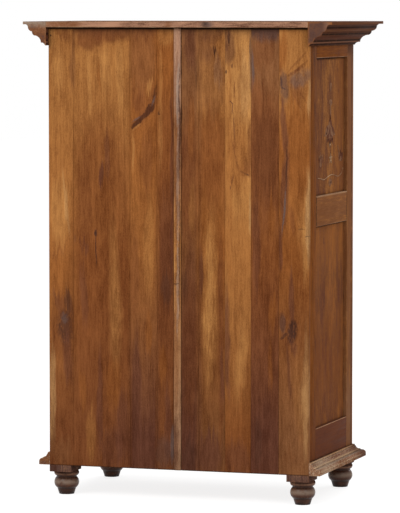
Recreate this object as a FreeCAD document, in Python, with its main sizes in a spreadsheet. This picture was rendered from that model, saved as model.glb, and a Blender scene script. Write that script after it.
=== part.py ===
import FreeCAD, Part
import math
import os
from types import SimpleNamespace

import Sketcher

# Glazed cabinet on turned feet: frame-and-panel sides, boarded back, moulded cornice and base,
# and two glazed doors. The front faces -Y and +X is the right of a person who faces the doors.
# The origin is on the floor, under the middle of the whole.

# Driving sizes in millimetres
SIZES = {
    # Whole case
    "total_height": 1700.0,
    "case_width": 970.0,
    "carcass_depth": 550.0,
    # Feet
    "foot_height": 110.0,
    "foot_block_width": 82.0,
    "foot_block_height": 24.0,
    "foot_disc_height": 18.0,
    "foot_disc_radius": 41.0,
    "foot_disc_edge": 12.0,
    "foot_neck_height": 6.0,
    "foot_neck_radius": 36.5,
    "foot_ball_height": 40.0,
    "foot_ball_curve": 26.0,
    "foot_ankle_radius": 34.0,
    "foot_base_radius": 27.0,
    "foot_dowel_radius": 9.0,
    "foot_dowel_length": 40.0,
    "front_foot_setback": 15.0,
    "back_foot_setback": 50.0,
    # Posts, rails and panels
    "post_width": 60.0,
    "front_post_depth": 80.0,
    "back_post_depth": 70.0,
    "side_rail_thickness": 32.0,
    "bottom_rail_height": 156.0,
    "lower_light_height": 714.0,
    "middle_rail_height": 107.0,
    "top_rail_height": 107.0,
    "panel_recess": 12.0,
    "panel_thickness": 10.0,
    "panel_tongue": 8.0,
    "panel_play": 2.0,
    "side_tenon_inset": 10.0,
    "side_tenon_thickness": 12.0,
    "side_tenon_length": 30.0,
    "tenon_shoulder": 15.0,
    "mortise_play": 1.0,
    "front_rail_thickness": 45.0,
    "front_bottom_rail_height": 62.0,
    "back_rail_thickness": 30.0,
    "back_bottom_rail_height": 70.0,
    "back_top_rail_height": 80.0,
    "cross_tenon_length": 25.0,
    "cross_tenon_thickness": 12.0,
    "front_tenon_inset": 29.0,
    "back_tenon_inset": 10.0,
    # Back
    "back_thickness": 15.0,
    "back_joint_gap": 0.6,
    "back_top_gap": 3.0,
    "strip_width": 26.0,
    "strip_proud": 4.0,
    "strip_flange_width": 66.0,
    "strip_flange_thickness": 20.0,
    "right_outer_board": 93.0,
    "right_second_board": 101.0,
    "right_inner_board": 64.0,
    "left_outer_board": 111.0,
    "left_fourth_board": 102.0,
    "left_second_board": 97.0,
    "left_inner_board": 66.0,
    # Top and cornice
    "top_thickness": 20.0,
    "top_overhang": 25.0,
    "cornice_projection": 88.0,
    "cornice_height": 85.0,
    "cornice_soffit_cove_width": 14.0,
    "cornice_soffit_cove_height": 10.0,
    "cornice_soffit_cove_radius": 14.0,
    "cornice_soffit_fillet": 2.0,
    "cornice_lower_cove_width": 21.0,
    "cornice_lower_cove_height": 21.0,
    "cornice_lower_cove_radius": 26.0,
    "cornice_lower_fillet": 4.0,
    "cornice_lower_round_width": 9.0,
    "cornice_lower_round_height": 15.0,
    "cornice_upper_fillet": 3.0,
    "cornice_upper_round_width": 12.0,
    "cornice_upper_round_height": 16.0,
    "cornice_round_radius": 17.0,
    "cornice_upper_cove_width": 15.0,
    "cornice_upper_cove_height": 9.0,
    "cornice_upper_cove_radius": 12.0,
    "cornice_lip": 4.0,
    "cornice_edge_height": 10.0,
    # Base moulding
    "base_projection": 41.0,
    "base_height": 46.0,
    "base_round_width": 13.0,
    "base_round_height": 12.0,
    "base_round_radius": 12.5,
    "base_fillet_width": 3.0,
    "base_fillet_height": 4.0,
    "base_cove_width": 14.0,
    "base_cove_height": 12.0,
    "base_cove_radius": 13.0,
    "base_bead_width": 3.0,
    "base_bead_height": 6.0,
    # Inside
    "bottom_board_thickness": 20.0,
    "board_play": 1.0,
    "shelf_thickness": 18.0,
    "shelf_front_setback": 55.0,
    "shelf_back_gap": 2.0,
    "lower_shelf_rise": 415.0,
    "upper_shelf_rise": 300.0,
    "cleat_width": 20.0,
    "cleat_height": 30.0,
    "cleat_end_gap": 5.0,
    # Doors
    "door_thickness": 24.0,
    "door_hinge_gap": 1.5,
    "door_meeting_gap": 3.0,
    "door_play": 2.0,
    "door_stile_width": 65.0,
    "door_top_rail_height": 70.0,
    "door_tenon_length": 40.0,
    "door_tenon_thickness": 8.0,
    "door_tenon_inset": 8.0,
    "door_stop_height": 10.0,
    "door_stop_gap": 0.5,
    "rebate_width": 10.0,
    "rebate_depth": 12.0,
    "glass_thickness": 3.0,
    "glass_play": 1.0,
    # Hinges
    "hinge_height": 70.0,
    "hinge_inset": 160.0,
    "hinge_leaf_width": 20.0,
    "hinge_leaf_thickness": 2.0,
    "hinge_knuckle_radius": 4.0,
    "hinge_knuckle_standoff": 0.5,
    "hinge_middle_knuckle": 24.0,
    "hinge_knuckle_gap": 0.3,
    "hinge_notch_gap": 0.3,
    "hinge_pin_radius": 2.2,
    "hinge_pin_clearance": 0.08,
    # Bolts of the left door
    "bolt_radius": 4.0,
    "bolt_clearance": 0.08,
    "bolt_length": 125.0,
    "bolt_end_gap": 3.0,
    "bolt_standoff": 7.0,
    "bolt_socket_depth": 16.0,
    "bolt_socket_clearance": 0.7,
    "bolt_knob_radius": 5.0,
    "bolt_knob_reach": 14.0,
    "bolt_guide_width": 22.0,
    "bolt_guide_depth": 14.0,
    "bolt_guide_height": 12.0,
    "bolt_guide_inset": 12.0,
    "bolt_guide_spacing": 80.0,
    # Lock of the right door
    "lock_drop": 90.0,
    "lock_edge_gap": 5.0,
    "lock_width": 44.0,
    "lock_height": 60.0,
    "lock_depth": 13.0,
    "lock_wall": 2.0,
    "lock_bolt_length": 34.0,
    "lock_bolt_height": 12.0,
    "lock_bolt_thickness": 6.0,
    "lock_bolt_rise": 4.0,
    "lock_bolt_clearance": 0.2,
    "lock_bolt_standoff": 3.0,
    "keep_width": 22.0,
    "keep_wall": 4.0,
    "keep_clearance": 0.5,
    "keep_edge_gap": 1.5,
    "key_inset": 28.5,
    "key_drop": 10.0,
    "key_shaft_radius": 2.5,
    "key_clearance": 0.08,
    "key_reach": 28.0,
    "key_bit_length": 12.0,
    "key_bit_thickness": 3.0,
    "key_bow_radius": 10.0,
    "key_bow_wire": 2.0,
    "keyhole_radius": 4.0,
    "keyhole_slot_width": 4.4,
    "keyhole_slot_length": 13.0,
    "escutcheon_width": 24.0,
    "escutcheon_height": 52.0,
    "escutcheon_thickness": 1.5,
}


class Length:
    """A length that knows its number and the formula in the sheet that gives it."""

    def __init__(self, number, formula):
        self.number = number
        self.formula = formula

    def __add__(self, other):
        other = as_length(other)
        return Length(self.number + other.number, f"({self.formula} + {other.formula})")

    def __sub__(self, other):
        other = as_length(other)
        return Length(self.number - other.number, f"({self.formula} - {other.formula})")

    def __mul__(self, factor):
        return Length(self.number * factor, f"({self.formula} * {factor})")

    def __truediv__(self, factor):
        return Length(self.number / factor, f"({self.formula} / {factor})")

    def __neg__(self):
        return self * -1


def as_length(value):
    """A plain number as a Length."""
    return value if isinstance(value, Length) else Length(float(value), f"{float(value)}")


doc = FreeCAD.newDocument("glazed_cabinet")
sheet = doc.addObject("Spreadsheet::Sheet", "Sizes")
for row, (size_name, size_number) in enumerate(SIZES.items(), start=1):
    sheet.set(f"A{row}", size_name)
    sheet.set(f"B{row}", f"{size_number}")
    sheet.setAlias(f"B{row}", size_name)
doc.recompute()

d = SimpleNamespace(**{name: Length(number, f"Sizes.{name}") for name, number in SIZES.items()})
pieces = []
X_AXIS = FreeCAD.Vector(1, 0, 0)
Y_AXIS = FreeCAD.Vector(0, 1, 0)
Z_AXIS = FreeCAD.Vector(0, 0, 1)
ROOT_TWO = math.sqrt(2.0)


# Ways of making a solid


def place(solid, corner, axis=Z_AXIS, angle=0.0):
    """Turn a solid about an axis and tie its place to the sheet."""
    solid.Placement = FreeCAD.Placement(FreeCAD.Vector(), FreeCAD.Rotation(axis, angle))
    for direction, value in zip("xyz", corner):
        solid.setExpression(f"Placement.Base.{direction}", as_length(value).formula)
    return solid


def slab(name, x, y, z):
    """A block between two places along each axis."""
    block = doc.addObject("Part::Box", name)
    for side, (low, high) in zip(("Length", "Width", "Height"), (x, y, z)):
        block.setExpression(side, (as_length(high) - low).formula)
    return place(block, (x[0], y[0], z[0]))


def rod(name, start, radius, reach, axis=Z_AXIS, angle=0.0):
    """A round bar that starts at a point and runs along its own turned Z."""
    bar = doc.addObject("Part::Cylinder", name)
    bar.setExpression("Radius", as_length(radius).formula)
    bar.setExpression("Height", as_length(reach).formula)
    return place(bar, start, axis, angle)


def fuse(name, solids):
    """One solid made of several that touch."""
    whole = doc.addObject("Part::MultiFuse", name)
    whole.Shapes = solids
    return whole


def cut(name, base, tools):
    """A solid with one or more others taken out of it."""
    rest = doc.addObject("Part::Cut", name)
    rest.Base = base
    rest.Tool = tools[0] if len(tools) == 1 else fuse(f"{name}_cutter", tools)
    return rest


def group(name, solids):
    """Several separate solids that share a node."""
    together = doc.addObject("Part::Compound", name)
    together.Links = solids
    return together


def mirrored(name, solid):
    """The same solid on the other side of the middle plane."""
    twin = doc.addObject("Part::Mirroring", name)
    twin.Source = solid
    twin.Base = FreeCAD.Vector(0, 0, 0)
    twin.Normal = X_AXIS
    return twin


def piece(solid, name):
    """Give a finished sub-part the name of its node."""
    solid.Label = name
    pieces.append(solid)
    return solid


def arc_between(start, end, radius, hollow):
    """A short arc between two points, with its centre on the left, or on the right if hollow."""
    chord = end.sub(start)
    middle = start.add(end).multiply(0.5)
    rise = math.sqrt(radius**2 - (chord.Length / 2) ** 2)
    left = FreeCAD.Vector(-chord.y, chord.x, 0).normalize()
    centre = middle.sub(left * rise) if hollow else middle.add(left * rise)
    first, last = (end, start) if hollow else (start, end)
    angles = [math.atan2(point.y - centre.y, point.x - centre.x) for point in (first, last)]
    return Part.ArcOfCircle(Part.Circle(centre, Z_AXIS, radius), angles[0], angles[1])


def profile(body, name, corners):
    """A closed outline on the body's upright plane.

    Each corner is its two places, and the radius of the arc that leads on from it: none for a
    straight line, a pair ("round", radius) or ("hollow", radius) for an arc.
    """
    sketch = body.newObject("Sketcher::SketchObject", name)
    plane = next(part for part in body.Origin.OriginFeatures if part.Role == "XZ_Plane")
    sketch.AttachmentSupport = [(plane, "")]
    sketch.MapMode = "FlatFace"
    points = [FreeCAD.Vector(as_length(u).number, as_length(v).number, 0) for u, v, _ in corners]
    ends = []
    for index, (_, _, bend) in enumerate(corners):
        start, end = points[index], points[(index + 1) % len(points)]
        if bend is None:
            sketch.addGeometry(Part.LineSegment(start, end), False)
            ends.append((1, 2))
            continue
        kind, radius = bend
        hollow = kind == "hollow"
        sketch.addGeometry(arc_between(start, end, radius.number, hollow), False)
        ends.append((2, 1) if hollow else (1, 2))
        rule = sketch.addConstraint(Sketcher.Constraint("Radius", index, radius.number))
        sketch.setExpression(f"Constraints[{rule}]", radius.formula)
    for index, (u, v, _) in enumerate(corners):
        before = index - 1 if index else len(corners) - 1
        sketch.addConstraint(
            Sketcher.Constraint("Coincident", before, ends[before][1], index, ends[index][0])
        )
        for kind, value, axis in (("DistanceX", u, -2), ("DistanceY", v, -1)):
            value = as_length(value)
            if value.number == 0.0:
                sketch.addConstraint(Sketcher.Constraint("PointOnObject", index, ends[index][0], axis))
                continue
            rule = sketch.addConstraint(
                Sketcher.Constraint(kind, -1, 1, index, ends[index][0], value.number)
            )
            sketch.setExpression(f"Constraints[{rule}]", value.formula)
    return sketch


def moulding(name, corners, run, start, angle):
    """A moulded length: its profile stands out along the turned X, and it runs along the turned -Y."""
    body = doc.addObject("PartDesign::Body", name)
    sketch = profile(body, f"{name}_profile", corners)
    pad = body.newObject("PartDesign::Pad", f"{name}_pad")
    pad.Profile = sketch
    pad.setExpression("Length", run.formula)
    return place(body, start, Z_AXIS, angle)


def turning(name, corners, centre):
    """A turned solid: its profile goes once round the upright axis."""
    body = doc.addObject("PartDesign::Body", name)
    sketch = profile(body, f"{name}_profile", corners)
    spun = body.newObject("PartDesign::Revolution", f"{name}_spun")
    spun.Profile = sketch
    spun.ReferenceAxis = (sketch, ["V_Axis"])
    spun.Angle = 360.0
    return place(body, centre)


# Places that the pieces share, worked out from the driving sizes

half_width = d.case_width / 2
total_depth = d.cornice_projection + d.carcass_depth + d.back_thickness + d.top_overhang
front_y = d.cornice_projection - total_depth / 2
back_y = front_y + d.carcass_depth
boards_y = back_y + d.back_thickness
rear_y = total_depth / 2
case_z = d.foot_height
top_z = d.total_height - d.top_thickness
opening_x = half_width - d.post_width
front_post_y = front_y + d.front_post_depth
back_post_y = back_y - d.back_post_depth

bottom_rail_z = case_z + d.bottom_rail_height
middle_rail_z = bottom_rail_z + d.lower_light_height
upper_light_z = middle_rail_z + d.middle_rail_height
top_rail_z = top_z - d.top_rail_height
front_rail_z = case_z + d.front_bottom_rail_height

foot_x = half_width - d.foot_block_width / 2
front_foot_y = front_y + d.front_foot_setback
back_foot_y = back_y - d.back_foot_setback

door_z = front_rail_z + d.door_play
door_top_z = top_rail_z - d.door_play
door_back_y = front_y + d.door_thickness
door_hinge_x = opening_x - d.door_hinge_gap
door_meeting_x = d.door_meeting_gap / 2
stile_inner_x = door_hinge_x - d.door_stile_width
meeting_inner_x = door_meeting_x + d.door_stile_width
door_upper_light_top_z = door_top_z - d.door_top_rail_height

hinge_x = opening_x - d.door_hinge_gap / 2
hinge_y = front_y - d.hinge_knuckle_radius - d.hinge_knuckle_standoff
low_hinge_z = door_z + d.hinge_inset
high_hinge_z = door_top_z - d.hinge_inset
hinge_levels = (low_hinge_z, (low_hinge_z + high_hinge_z) / 2, high_hinge_z)

bolt_x = door_meeting_x + d.door_stile_width / 2
bolt_y = door_back_y + d.bolt_standoff
stop_z = top_rail_z - d.door_stop_height
lock_z = middle_rail_z - d.lock_drop
key_x = door_meeting_x + d.key_inset
key_z = lock_z - d.key_drop


# Turned feet: base, ball, neck and disc in one turning, with a block and a dowel above


def foot(name, centre_y, block_back_y):
    """The left foot of a pair, with a block that reaches back to a given place."""
    block_z = d.foot_height - d.foot_block_height
    disc_z = block_z - d.foot_disc_height
    neck_z = disc_z - d.foot_neck_height
    ankle_z = neck_z - d.foot_ball_height
    half_block = d.foot_block_width / 2
    turned = turning(
        f"{name}_turning",
        [
            (0, 0, None),
            (d.foot_base_radius, 0, None),
            (d.foot_ankle_radius, ankle_z, ("round", d.foot_ball_curve)),
            (d.foot_neck_radius, neck_z, None),
            (d.foot_neck_radius, disc_z, None),
            (d.foot_disc_radius, disc_z, ("round", d.foot_disc_edge)),
            (d.foot_disc_radius, block_z, None),
            (0, block_z, None),
        ],
        (-foot_x, centre_y, 0),
    )
    block = slab(
        f"{name}_block",
        (-foot_x - half_block, -foot_x + half_block),
        (centre_y - half_block, block_back_y),
        (block_z, case_z),
    )
    dowel = rod(f"{name}_dowel", (-foot_x, centre_y, block_z), d.foot_dowel_radius,
                d.foot_block_height + d.foot_dowel_length)
    return fuse(name, [turned, block, dowel])


for end, centre_y, block_back_y in (
    ("front", front_foot_y, front_foot_y + d.foot_block_width / 2),
    ("back", back_foot_y, boards_y),
):
    left_foot = foot(f"foot_{end}_left", centre_y, block_back_y)
    piece(left_foot, f"foot_{end}_left")
    piece(mirrored(f"foot_{end}_right", left_foot), f"foot_{end}_right")


def dowel_hole(name, centre_y):
    """The hole in a post for the dowel of its foot."""
    return rod(name, (-foot_x, centre_y, case_z), d.foot_dowel_radius,
               d.foot_dowel_length + d.mortise_play)


# Left side: two posts, three rails and two panels. The right side mirrors it.

side_face_x = -half_width
panel_x = (side_face_x + d.panel_recess, side_face_x + d.panel_recess + d.panel_thickness)
groove_depth = d.panel_tongue + d.panel_play
side_tenon_x = (
    side_face_x + d.side_tenon_inset,
    side_face_x + d.side_tenon_inset + d.side_tenon_thickness,
)
side_rails = {
    "bottom": (case_z, bottom_rail_z),
    "middle": (middle_rail_z, upper_light_z),
    "top": (top_rail_z, top_z),
}
side_lights = {
    "lower": (bottom_rail_z, middle_rail_z),
    "upper": (upper_light_z, top_rail_z),
}


def tenon_span(span):
    """The height of a rail less the shoulders of its tenons."""
    return (span[0] + d.tenon_shoulder, span[1] - d.tenon_shoulder)


def side_mortises(name, post_faces):
    """The pockets in a post for the tenons of the three side rails."""
    return [
        slab(f"{name}_{rail}_mortise", side_tenon_x, post_faces, tenon_span(span))
        for rail, span in side_rails.items()
    ]


grooves = {
    light: slab(
        f"{light}_panel_groove",
        panel_x,
        (front_post_y - groove_depth, back_post_y + groove_depth),
        (span[0] - groove_depth, span[1] + groove_depth),
    )
    for light, span in side_lights.items()
}

for light, span in side_lights.items():
    panel = slab(
        f"side_{light}_panel_left",
        panel_x,
        (front_post_y - d.panel_tongue, back_post_y + d.panel_tongue),
        (span[0] - d.panel_tongue, span[1] + d.panel_tongue),
    )
    piece(panel, f"side_{light}_panel_left")
    piece(mirrored(f"side_{light}_panel_right", panel), f"side_{light}_panel_right")

rail_grooves = {"bottom": ["lower"], "middle": ["lower", "upper"], "top": ["upper"]}
for rail, span in side_rails.items():
    name = f"side_{rail}_rail_left"
    blank = slab(f"{name}_blank", (side_face_x, side_face_x + d.side_rail_thickness),
                 (front_post_y, back_post_y), span)
    tenons = slab(f"{name}_tenons", side_tenon_x,
                  (front_post_y - d.side_tenon_length, back_post_y + d.side_tenon_length),
                  tenon_span(span))
    grooved = cut(name, fuse(f"{name}_whole", [blank, tenons]),
                  [grooves[light] for light in rail_grooves[rail]])
    piece(grooved, name)
    piece(mirrored(f"side_{rail}_rail_right", grooved), f"side_{rail}_rail_right")


# Cross rails between the posts, front and back, with a tenon at each end

front_tenon_y = (
    front_y + d.front_tenon_inset,
    front_y + d.front_tenon_inset + d.cross_tenon_thickness,
)
back_tenon_y = (
    back_y - d.back_tenon_inset - d.cross_tenon_thickness,
    back_y - d.back_tenon_inset,
)
front_rail_y = (front_y, front_y + d.front_rail_thickness)
back_rail_y = (back_y - d.back_rail_thickness, back_y)
cross_rails = {
    "front_top": (front_rail_y, front_tenon_y, (top_rail_z, top_z)),
    "front_bottom": (front_rail_y, front_tenon_y, (case_z, front_rail_z)),
    "back_top": (back_rail_y, back_tenon_y, (top_z - d.back_top_rail_height, top_z)),
    "back_bottom": (back_rail_y, back_tenon_y, (case_z, case_z + d.back_bottom_rail_height)),
}


def cross_mortises(end):
    """The pockets in a left post for the two cross rails at its end of the case."""
    reach = (-opening_x - d.cross_tenon_length - d.mortise_play, -opening_x)
    return [
        slab(f"{name}_mortise", reach, tenon_y, tenon_span(span))
        for name, (_, tenon_y, span) in cross_rails.items()
        if name.startswith(end)
    ]


def cross_rail(name):
    """A rail between two posts."""
    rail_y, tenon_y, span = cross_rails[name]
    blank = slab(f"{name}_rail_blank", (-opening_x, opening_x), rail_y, span)
    reach = opening_x + d.cross_tenon_length
    tenons = slab(f"{name}_rail_tenons", (-reach, reach), tenon_y, tenon_span(span))
    return fuse(f"{name}_rail_whole", [blank, tenons])


socket_radius = d.bolt_radius + d.bolt_socket_clearance
door_stop = slab("door_stop", (-opening_x, opening_x),
                 (door_back_y + d.door_stop_gap, front_rail_y[1]), (stop_z, top_rail_z))
top_socket = rod("top_bolt_socket", (-bolt_x, bolt_y, stop_z), socket_radius,
                 d.door_stop_height + d.bolt_socket_depth)
bottom_socket = rod("bottom_bolt_socket", (-bolt_x, bolt_y, front_rail_z - d.bolt_socket_depth),
                    socket_radius, d.bolt_socket_depth)
stopped_rail = fuse("front_top_rail_stopped", [cross_rail("front_top"), door_stop])
piece(cut("front_top_rail", stopped_rail, [top_socket]), "front_top_rail")
piece(cut("front_bottom_rail", cross_rail("front_bottom"), [bottom_socket]), "front_bottom_rail")
piece(cross_rail("back_top"), "back_top_rail")
piece(cross_rail("back_bottom"), "back_bottom_rail")


# Corner posts

half_hinge = d.hinge_height / 2


def hinge_housings(name, x):
    """The shallow recesses for the leaves of the left hinges."""
    return [
        slab(f"{name}_{index}", x, (front_y, front_y + d.hinge_leaf_width),
             (level - half_hinge, level + half_hinge))
        for index, level in enumerate(hinge_levels)
    ]


post_leaf_x = (-opening_x - d.hinge_leaf_thickness, -opening_x)
door_leaf_x = (-door_hinge_x, -door_hinge_x + d.hinge_leaf_thickness)
mortise_depth = d.side_tenon_length + d.mortise_play
post_x = (-half_width, -opening_x)

front_post = cut(
    "front_post_left",
    slab("front_post_blank", post_x, (front_y, front_post_y), (case_z, top_z)),
    side_mortises("front_post", (front_post_y - mortise_depth, front_post_y))
    + cross_mortises("front")
    + hinge_housings("post_hinge_housing", post_leaf_x)
    + [grooves["lower"], grooves["upper"], dowel_hole("front_dowel_hole", front_foot_y)],
)
back_post = cut(
    "back_post_left",
    slab("back_post_blank", post_x, (back_post_y, back_y), (case_z, top_z)),
    side_mortises("back_post", (back_post_y, back_post_y + mortise_depth))
    + cross_mortises("back")
    + [grooves["lower"], grooves["upper"], dowel_hole("back_dowel_hole", back_foot_y)],
)
for end, post in (("front", front_post), ("back", back_post)):
    piece(post, f"{end}_post_left")
    piece(mirrored(f"{end}_post_right", post), f"{end}_post_right")


# Back: a T-shaped strip in the middle, five boards on the left half and four on the right

half_strip = d.strip_width / 2
half_flange = d.strip_flange_width / 2
strip_web = slab("back_strip_web", (-half_strip, half_strip), (back_y, boards_y + d.strip_proud),
                 (case_z, top_z))
strip_flange = slab("back_strip_flange", (-half_flange, half_flange),
                    (back_y - d.strip_flange_thickness, back_y),
                    (case_z + d.back_bottom_rail_height, top_z - d.back_top_rail_height))
piece(fuse("back_centre_strip", [strip_web, strip_flange]), "back_centre_strip")


def back_boards(side, joints):
    """Upright boards between neighbouring joints, all on one half of the back."""
    half_gap = d.back_joint_gap / 2
    return group(
        f"back_boards_{side}",
        [
            slab(f"back_board_{side}_{index}", (low + half_gap, high - half_gap), (back_y, boards_y),
                 (case_z, top_z - d.back_top_gap))
            for index, (low, high) in enumerate(zip(joints, joints[1:]))
        ],
    )


right_inner_joint = half_strip + d.right_inner_board
left_inner_joint = half_strip + d.left_inner_board
right_joints = [
    half_strip,
    right_inner_joint,
    right_inner_joint + d.right_second_board,
    half_width - d.right_outer_board,
    half_width,
]
left_joints = [
    -half_width,
    -half_width + d.left_outer_board,
    -half_width + d.left_outer_board + d.left_fourth_board,
    -left_inner_joint - d.left_second_board,
    -left_inner_joint,
    -half_strip,
]
piece(back_boards("left", left_joints), "back_boards_left")
piece(back_boards("right", right_joints), "back_boards_right")


# Top board, cornice and base moulding, with mitres at the front corners

piece(slab("top_board", (-half_width, half_width), (front_y, rear_y), (top_z, d.total_height)),
      "top_board")


def mitre_cutter(name, reach, low, high, front):
    """A block turned by 45 degrees, with one face on the left front mitre.

    It covers what lies in front of the mitre, or what lies behind it if the front run is cut.
    """
    size = reach * 2
    block = doc.addObject("Part::Box", name)
    block.setExpression("Length", (size * 2).formula)
    block.setExpression("Width", size.formula)
    block.setExpression("Height", (high - low).formula)
    back_off = size * (ROOT_TWO / 2) if front else as_length(0)
    down = size * (ROOT_TWO / 2) if front else size * ROOT_TWO
    return place(block, (-half_width - back_off, front_y - down, low), Z_AXIS, 45.0)


def mitred_runs(kind, corners, reach, low, high, back_end):
    """The left, right and front runs of one moulding round the case."""
    front_tip = front_y - reach
    side_run = moulding(f"{kind}_side_run", corners, as_length(back_end) - front_tip,
                        (-half_width, front_tip, low), 180.0)
    front_run = moulding(f"{kind}_front_run", corners, (half_width + reach) * 2,
                         (half_width + reach, front_y, low), -90.0)
    side_cutter = mitre_cutter(f"{kind}_side_mitre", reach, low, high, False)
    left_cutter = mitre_cutter(f"{kind}_left_mitre", reach, low, high, True)
    left = cut(f"{kind}_left", side_run, [side_cutter])
    front = cut(f"{kind}_front", front_run,
                [left_cutter, mirrored(f"{kind}_right_mitre", left_cutter)])
    piece(left, f"{kind}_left")
    piece(mirrored(f"{kind}_right", left), f"{kind}_right")
    piece(front, f"{kind}_front")


def cornice_profile():
    """From the soffit up: a small cove, a band, a cove, two rounds, a cove and the top edge."""
    band_x = (
        d.cornice_projection - d.cornice_lip - d.cornice_upper_cove_width - d.cornice_upper_round_width
        - d.cornice_upper_fillet - d.cornice_lower_round_width - d.cornice_lower_fillet
        - d.cornice_lower_cove_width
    )
    soffit_cove_x = band_x - d.cornice_soffit_fillet
    lower_round_x = band_x + d.cornice_lower_cove_width + d.cornice_lower_fillet
    upper_round_x = lower_round_x + d.cornice_lower_round_width + d.cornice_upper_fillet
    upper_cove_x = upper_round_x + d.cornice_upper_round_width
    edge_z = d.cornice_height - d.cornice_edge_height
    upper_cove_z = edge_z - d.cornice_upper_cove_height
    upper_round_z = upper_cove_z - d.cornice_upper_round_height
    lower_round_z = upper_round_z - d.cornice_lower_round_height
    cove_z = lower_round_z - d.cornice_lower_cove_height
    bend = ("round", d.cornice_round_radius)
    return [
        (0, 0, None),
        (soffit_cove_x - d.cornice_soffit_cove_width, 0, ("hollow", d.cornice_soffit_cove_radius)),
        (soffit_cove_x, d.cornice_soffit_cove_height, None),
        (band_x, d.cornice_soffit_cove_height, None),
        (band_x, cove_z, ("hollow", d.cornice_lower_cove_radius)),
        (band_x + d.cornice_lower_cove_width, lower_round_z, None),
        (lower_round_x, lower_round_z, bend),
        (lower_round_x + d.cornice_lower_round_width, upper_round_z, None),
        (upper_round_x, upper_round_z, bend),
        (upper_cove_x, upper_cove_z, ("hollow", d.cornice_upper_cove_radius)),
        (upper_cove_x + d.cornice_upper_cove_width, edge_z, None),
        (d.cornice_projection, edge_z, None),
        (d.cornice_projection, d.cornice_height, None),
        (0, d.cornice_height, None),
    ]


def base_profile():
    """From the bottom up: a plain nose, a round, a fillet, a cove and a bead."""
    cove_z = d.base_height - d.base_bead_height - d.base_cove_height
    round_top_z = cove_z - d.base_fillet_height
    fillet_x = d.base_projection - d.base_round_width - d.base_fillet_width
    bead_x = fillet_x - d.base_cove_width - d.base_bead_width
    return [
        (0, 0, None),
        (d.base_projection, 0, None),
        (d.base_projection, round_top_z - d.base_round_height, ("round", d.base_round_radius)),
        (d.base_projection - d.base_round_width, round_top_z, None),
        (fillet_x, round_top_z, None),
        (fillet_x, cove_z, ("hollow", d.base_cove_radius)),
        (fillet_x - d.base_cove_width, cove_z + d.base_cove_height, None),
        (bead_x, cove_z + d.base_cove_height, None),
        (bead_x, d.base_height, None),
        (0, d.base_height, None),
    ]


mitred_runs("cornice", cornice_profile(), d.cornice_projection, d.total_height - d.cornice_height,
            d.total_height, rear_y)
mitred_runs("base_moulding", base_profile(), d.base_projection, case_z, case_z + d.base_height,
            boards_y)


# Inside: bottom board, three shelves and the cleats that carry them

bottom_board_z = front_rail_z - d.bottom_board_thickness
middle_shelf_z = middle_rail_z + (d.middle_rail_height - d.shelf_thickness) / 2
shelf_levels = (
    front_rail_z + d.lower_shelf_rise,
    middle_shelf_z,
    middle_shelf_z + d.shelf_thickness + d.upper_shelf_rise,
)
shelf_x = opening_x - d.board_play
shelf_y = (
    front_y + d.shelf_front_setback,
    back_y - d.strip_flange_thickness - d.shelf_back_gap,
)
cleat_y = (front_rail_y[1] + d.cleat_end_gap, back_rail_y[0] - d.cleat_end_gap)


def notched_board(name, y, z):
    """A board across the case, cut out at its corners to go round the posts."""
    wide_x = half_width - d.side_rail_thickness - d.board_play
    wide_y = (front_post_y + d.board_play, back_post_y - d.board_play)
    return fuse(name, [
        slab(f"{name}_deep", (-shelf_x, shelf_x), y, z),
        slab(f"{name}_wide", (-wide_x, wide_x), wide_y, z),
    ])


piece(notched_board("bottom_board", (front_rail_y[1], back_rail_y[0]), (bottom_board_z, front_rail_z)),
      "bottom_board")
piece(
    group(
        "shelves",
        [
            notched_board(f"shelf_{index}", shelf_y, (level, level + d.shelf_thickness))
            for index, level in enumerate(shelf_levels)
        ],
    ),
    "shelves",
)

left_cleats = [
    slab(f"cleat_left_{index}", (-opening_x, -opening_x + d.cleat_width), cleat_y,
         (level - d.cleat_height, level))
    for index, level in enumerate((bottom_board_z,) + shelf_levels)
]
right_cleats = [mirrored(f"cleat_right_{index}", cleat) for index, cleat in enumerate(left_cleats)]
piece(group("shelf_cleats", left_cleats + right_cleats), "shelf_cleats")


# Hinges: the post leaf carries the pin and the outer knuckles, the door leaf the middle knuckle

leaf_y = (hinge_y, front_y + d.hinge_leaf_width)
notch_y = (
    hinge_y - d.hinge_knuckle_radius,
    front_y + d.hinge_notch_gap,
)


def hinge_spans(level):
    """The bottom and top of the lower, middle and upper knuckles of a hinge."""
    half_middle = d.hinge_middle_knuckle / 2
    return (
        (level - half_hinge, level - half_middle),
        (level - half_middle, level + half_middle),
        (level + half_middle, level + half_hinge),
    )


def knuckle(name, span, radius):
    """A length of round bar on the axis of the left hinges."""
    return rod(name, (-hinge_x, hinge_y, span[0]), radius, span[1] - span[0])


def post_leaf(index, level):
    """The leaf let into the left post, with two knuckles and the pin."""
    name = f"post_leaf_{index}"
    lower, middle, upper = hinge_spans(level)
    plate = slab(f"{name}_plate", post_leaf_x, leaf_y, (lower[0], upper[1]))
    notch = slab(f"{name}_notch", post_leaf_x, notch_y, middle)
    solids = [
        cut(f"{name}_notched", plate, [notch]),
        knuckle(f"{name}_lower_knuckle", lower, d.hinge_knuckle_radius),
        knuckle(f"{name}_upper_knuckle", upper, d.hinge_knuckle_radius),
        knuckle(f"{name}_pin", (lower[0], upper[1]), d.hinge_pin_radius),
    ]
    return fuse(name, solids)


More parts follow.
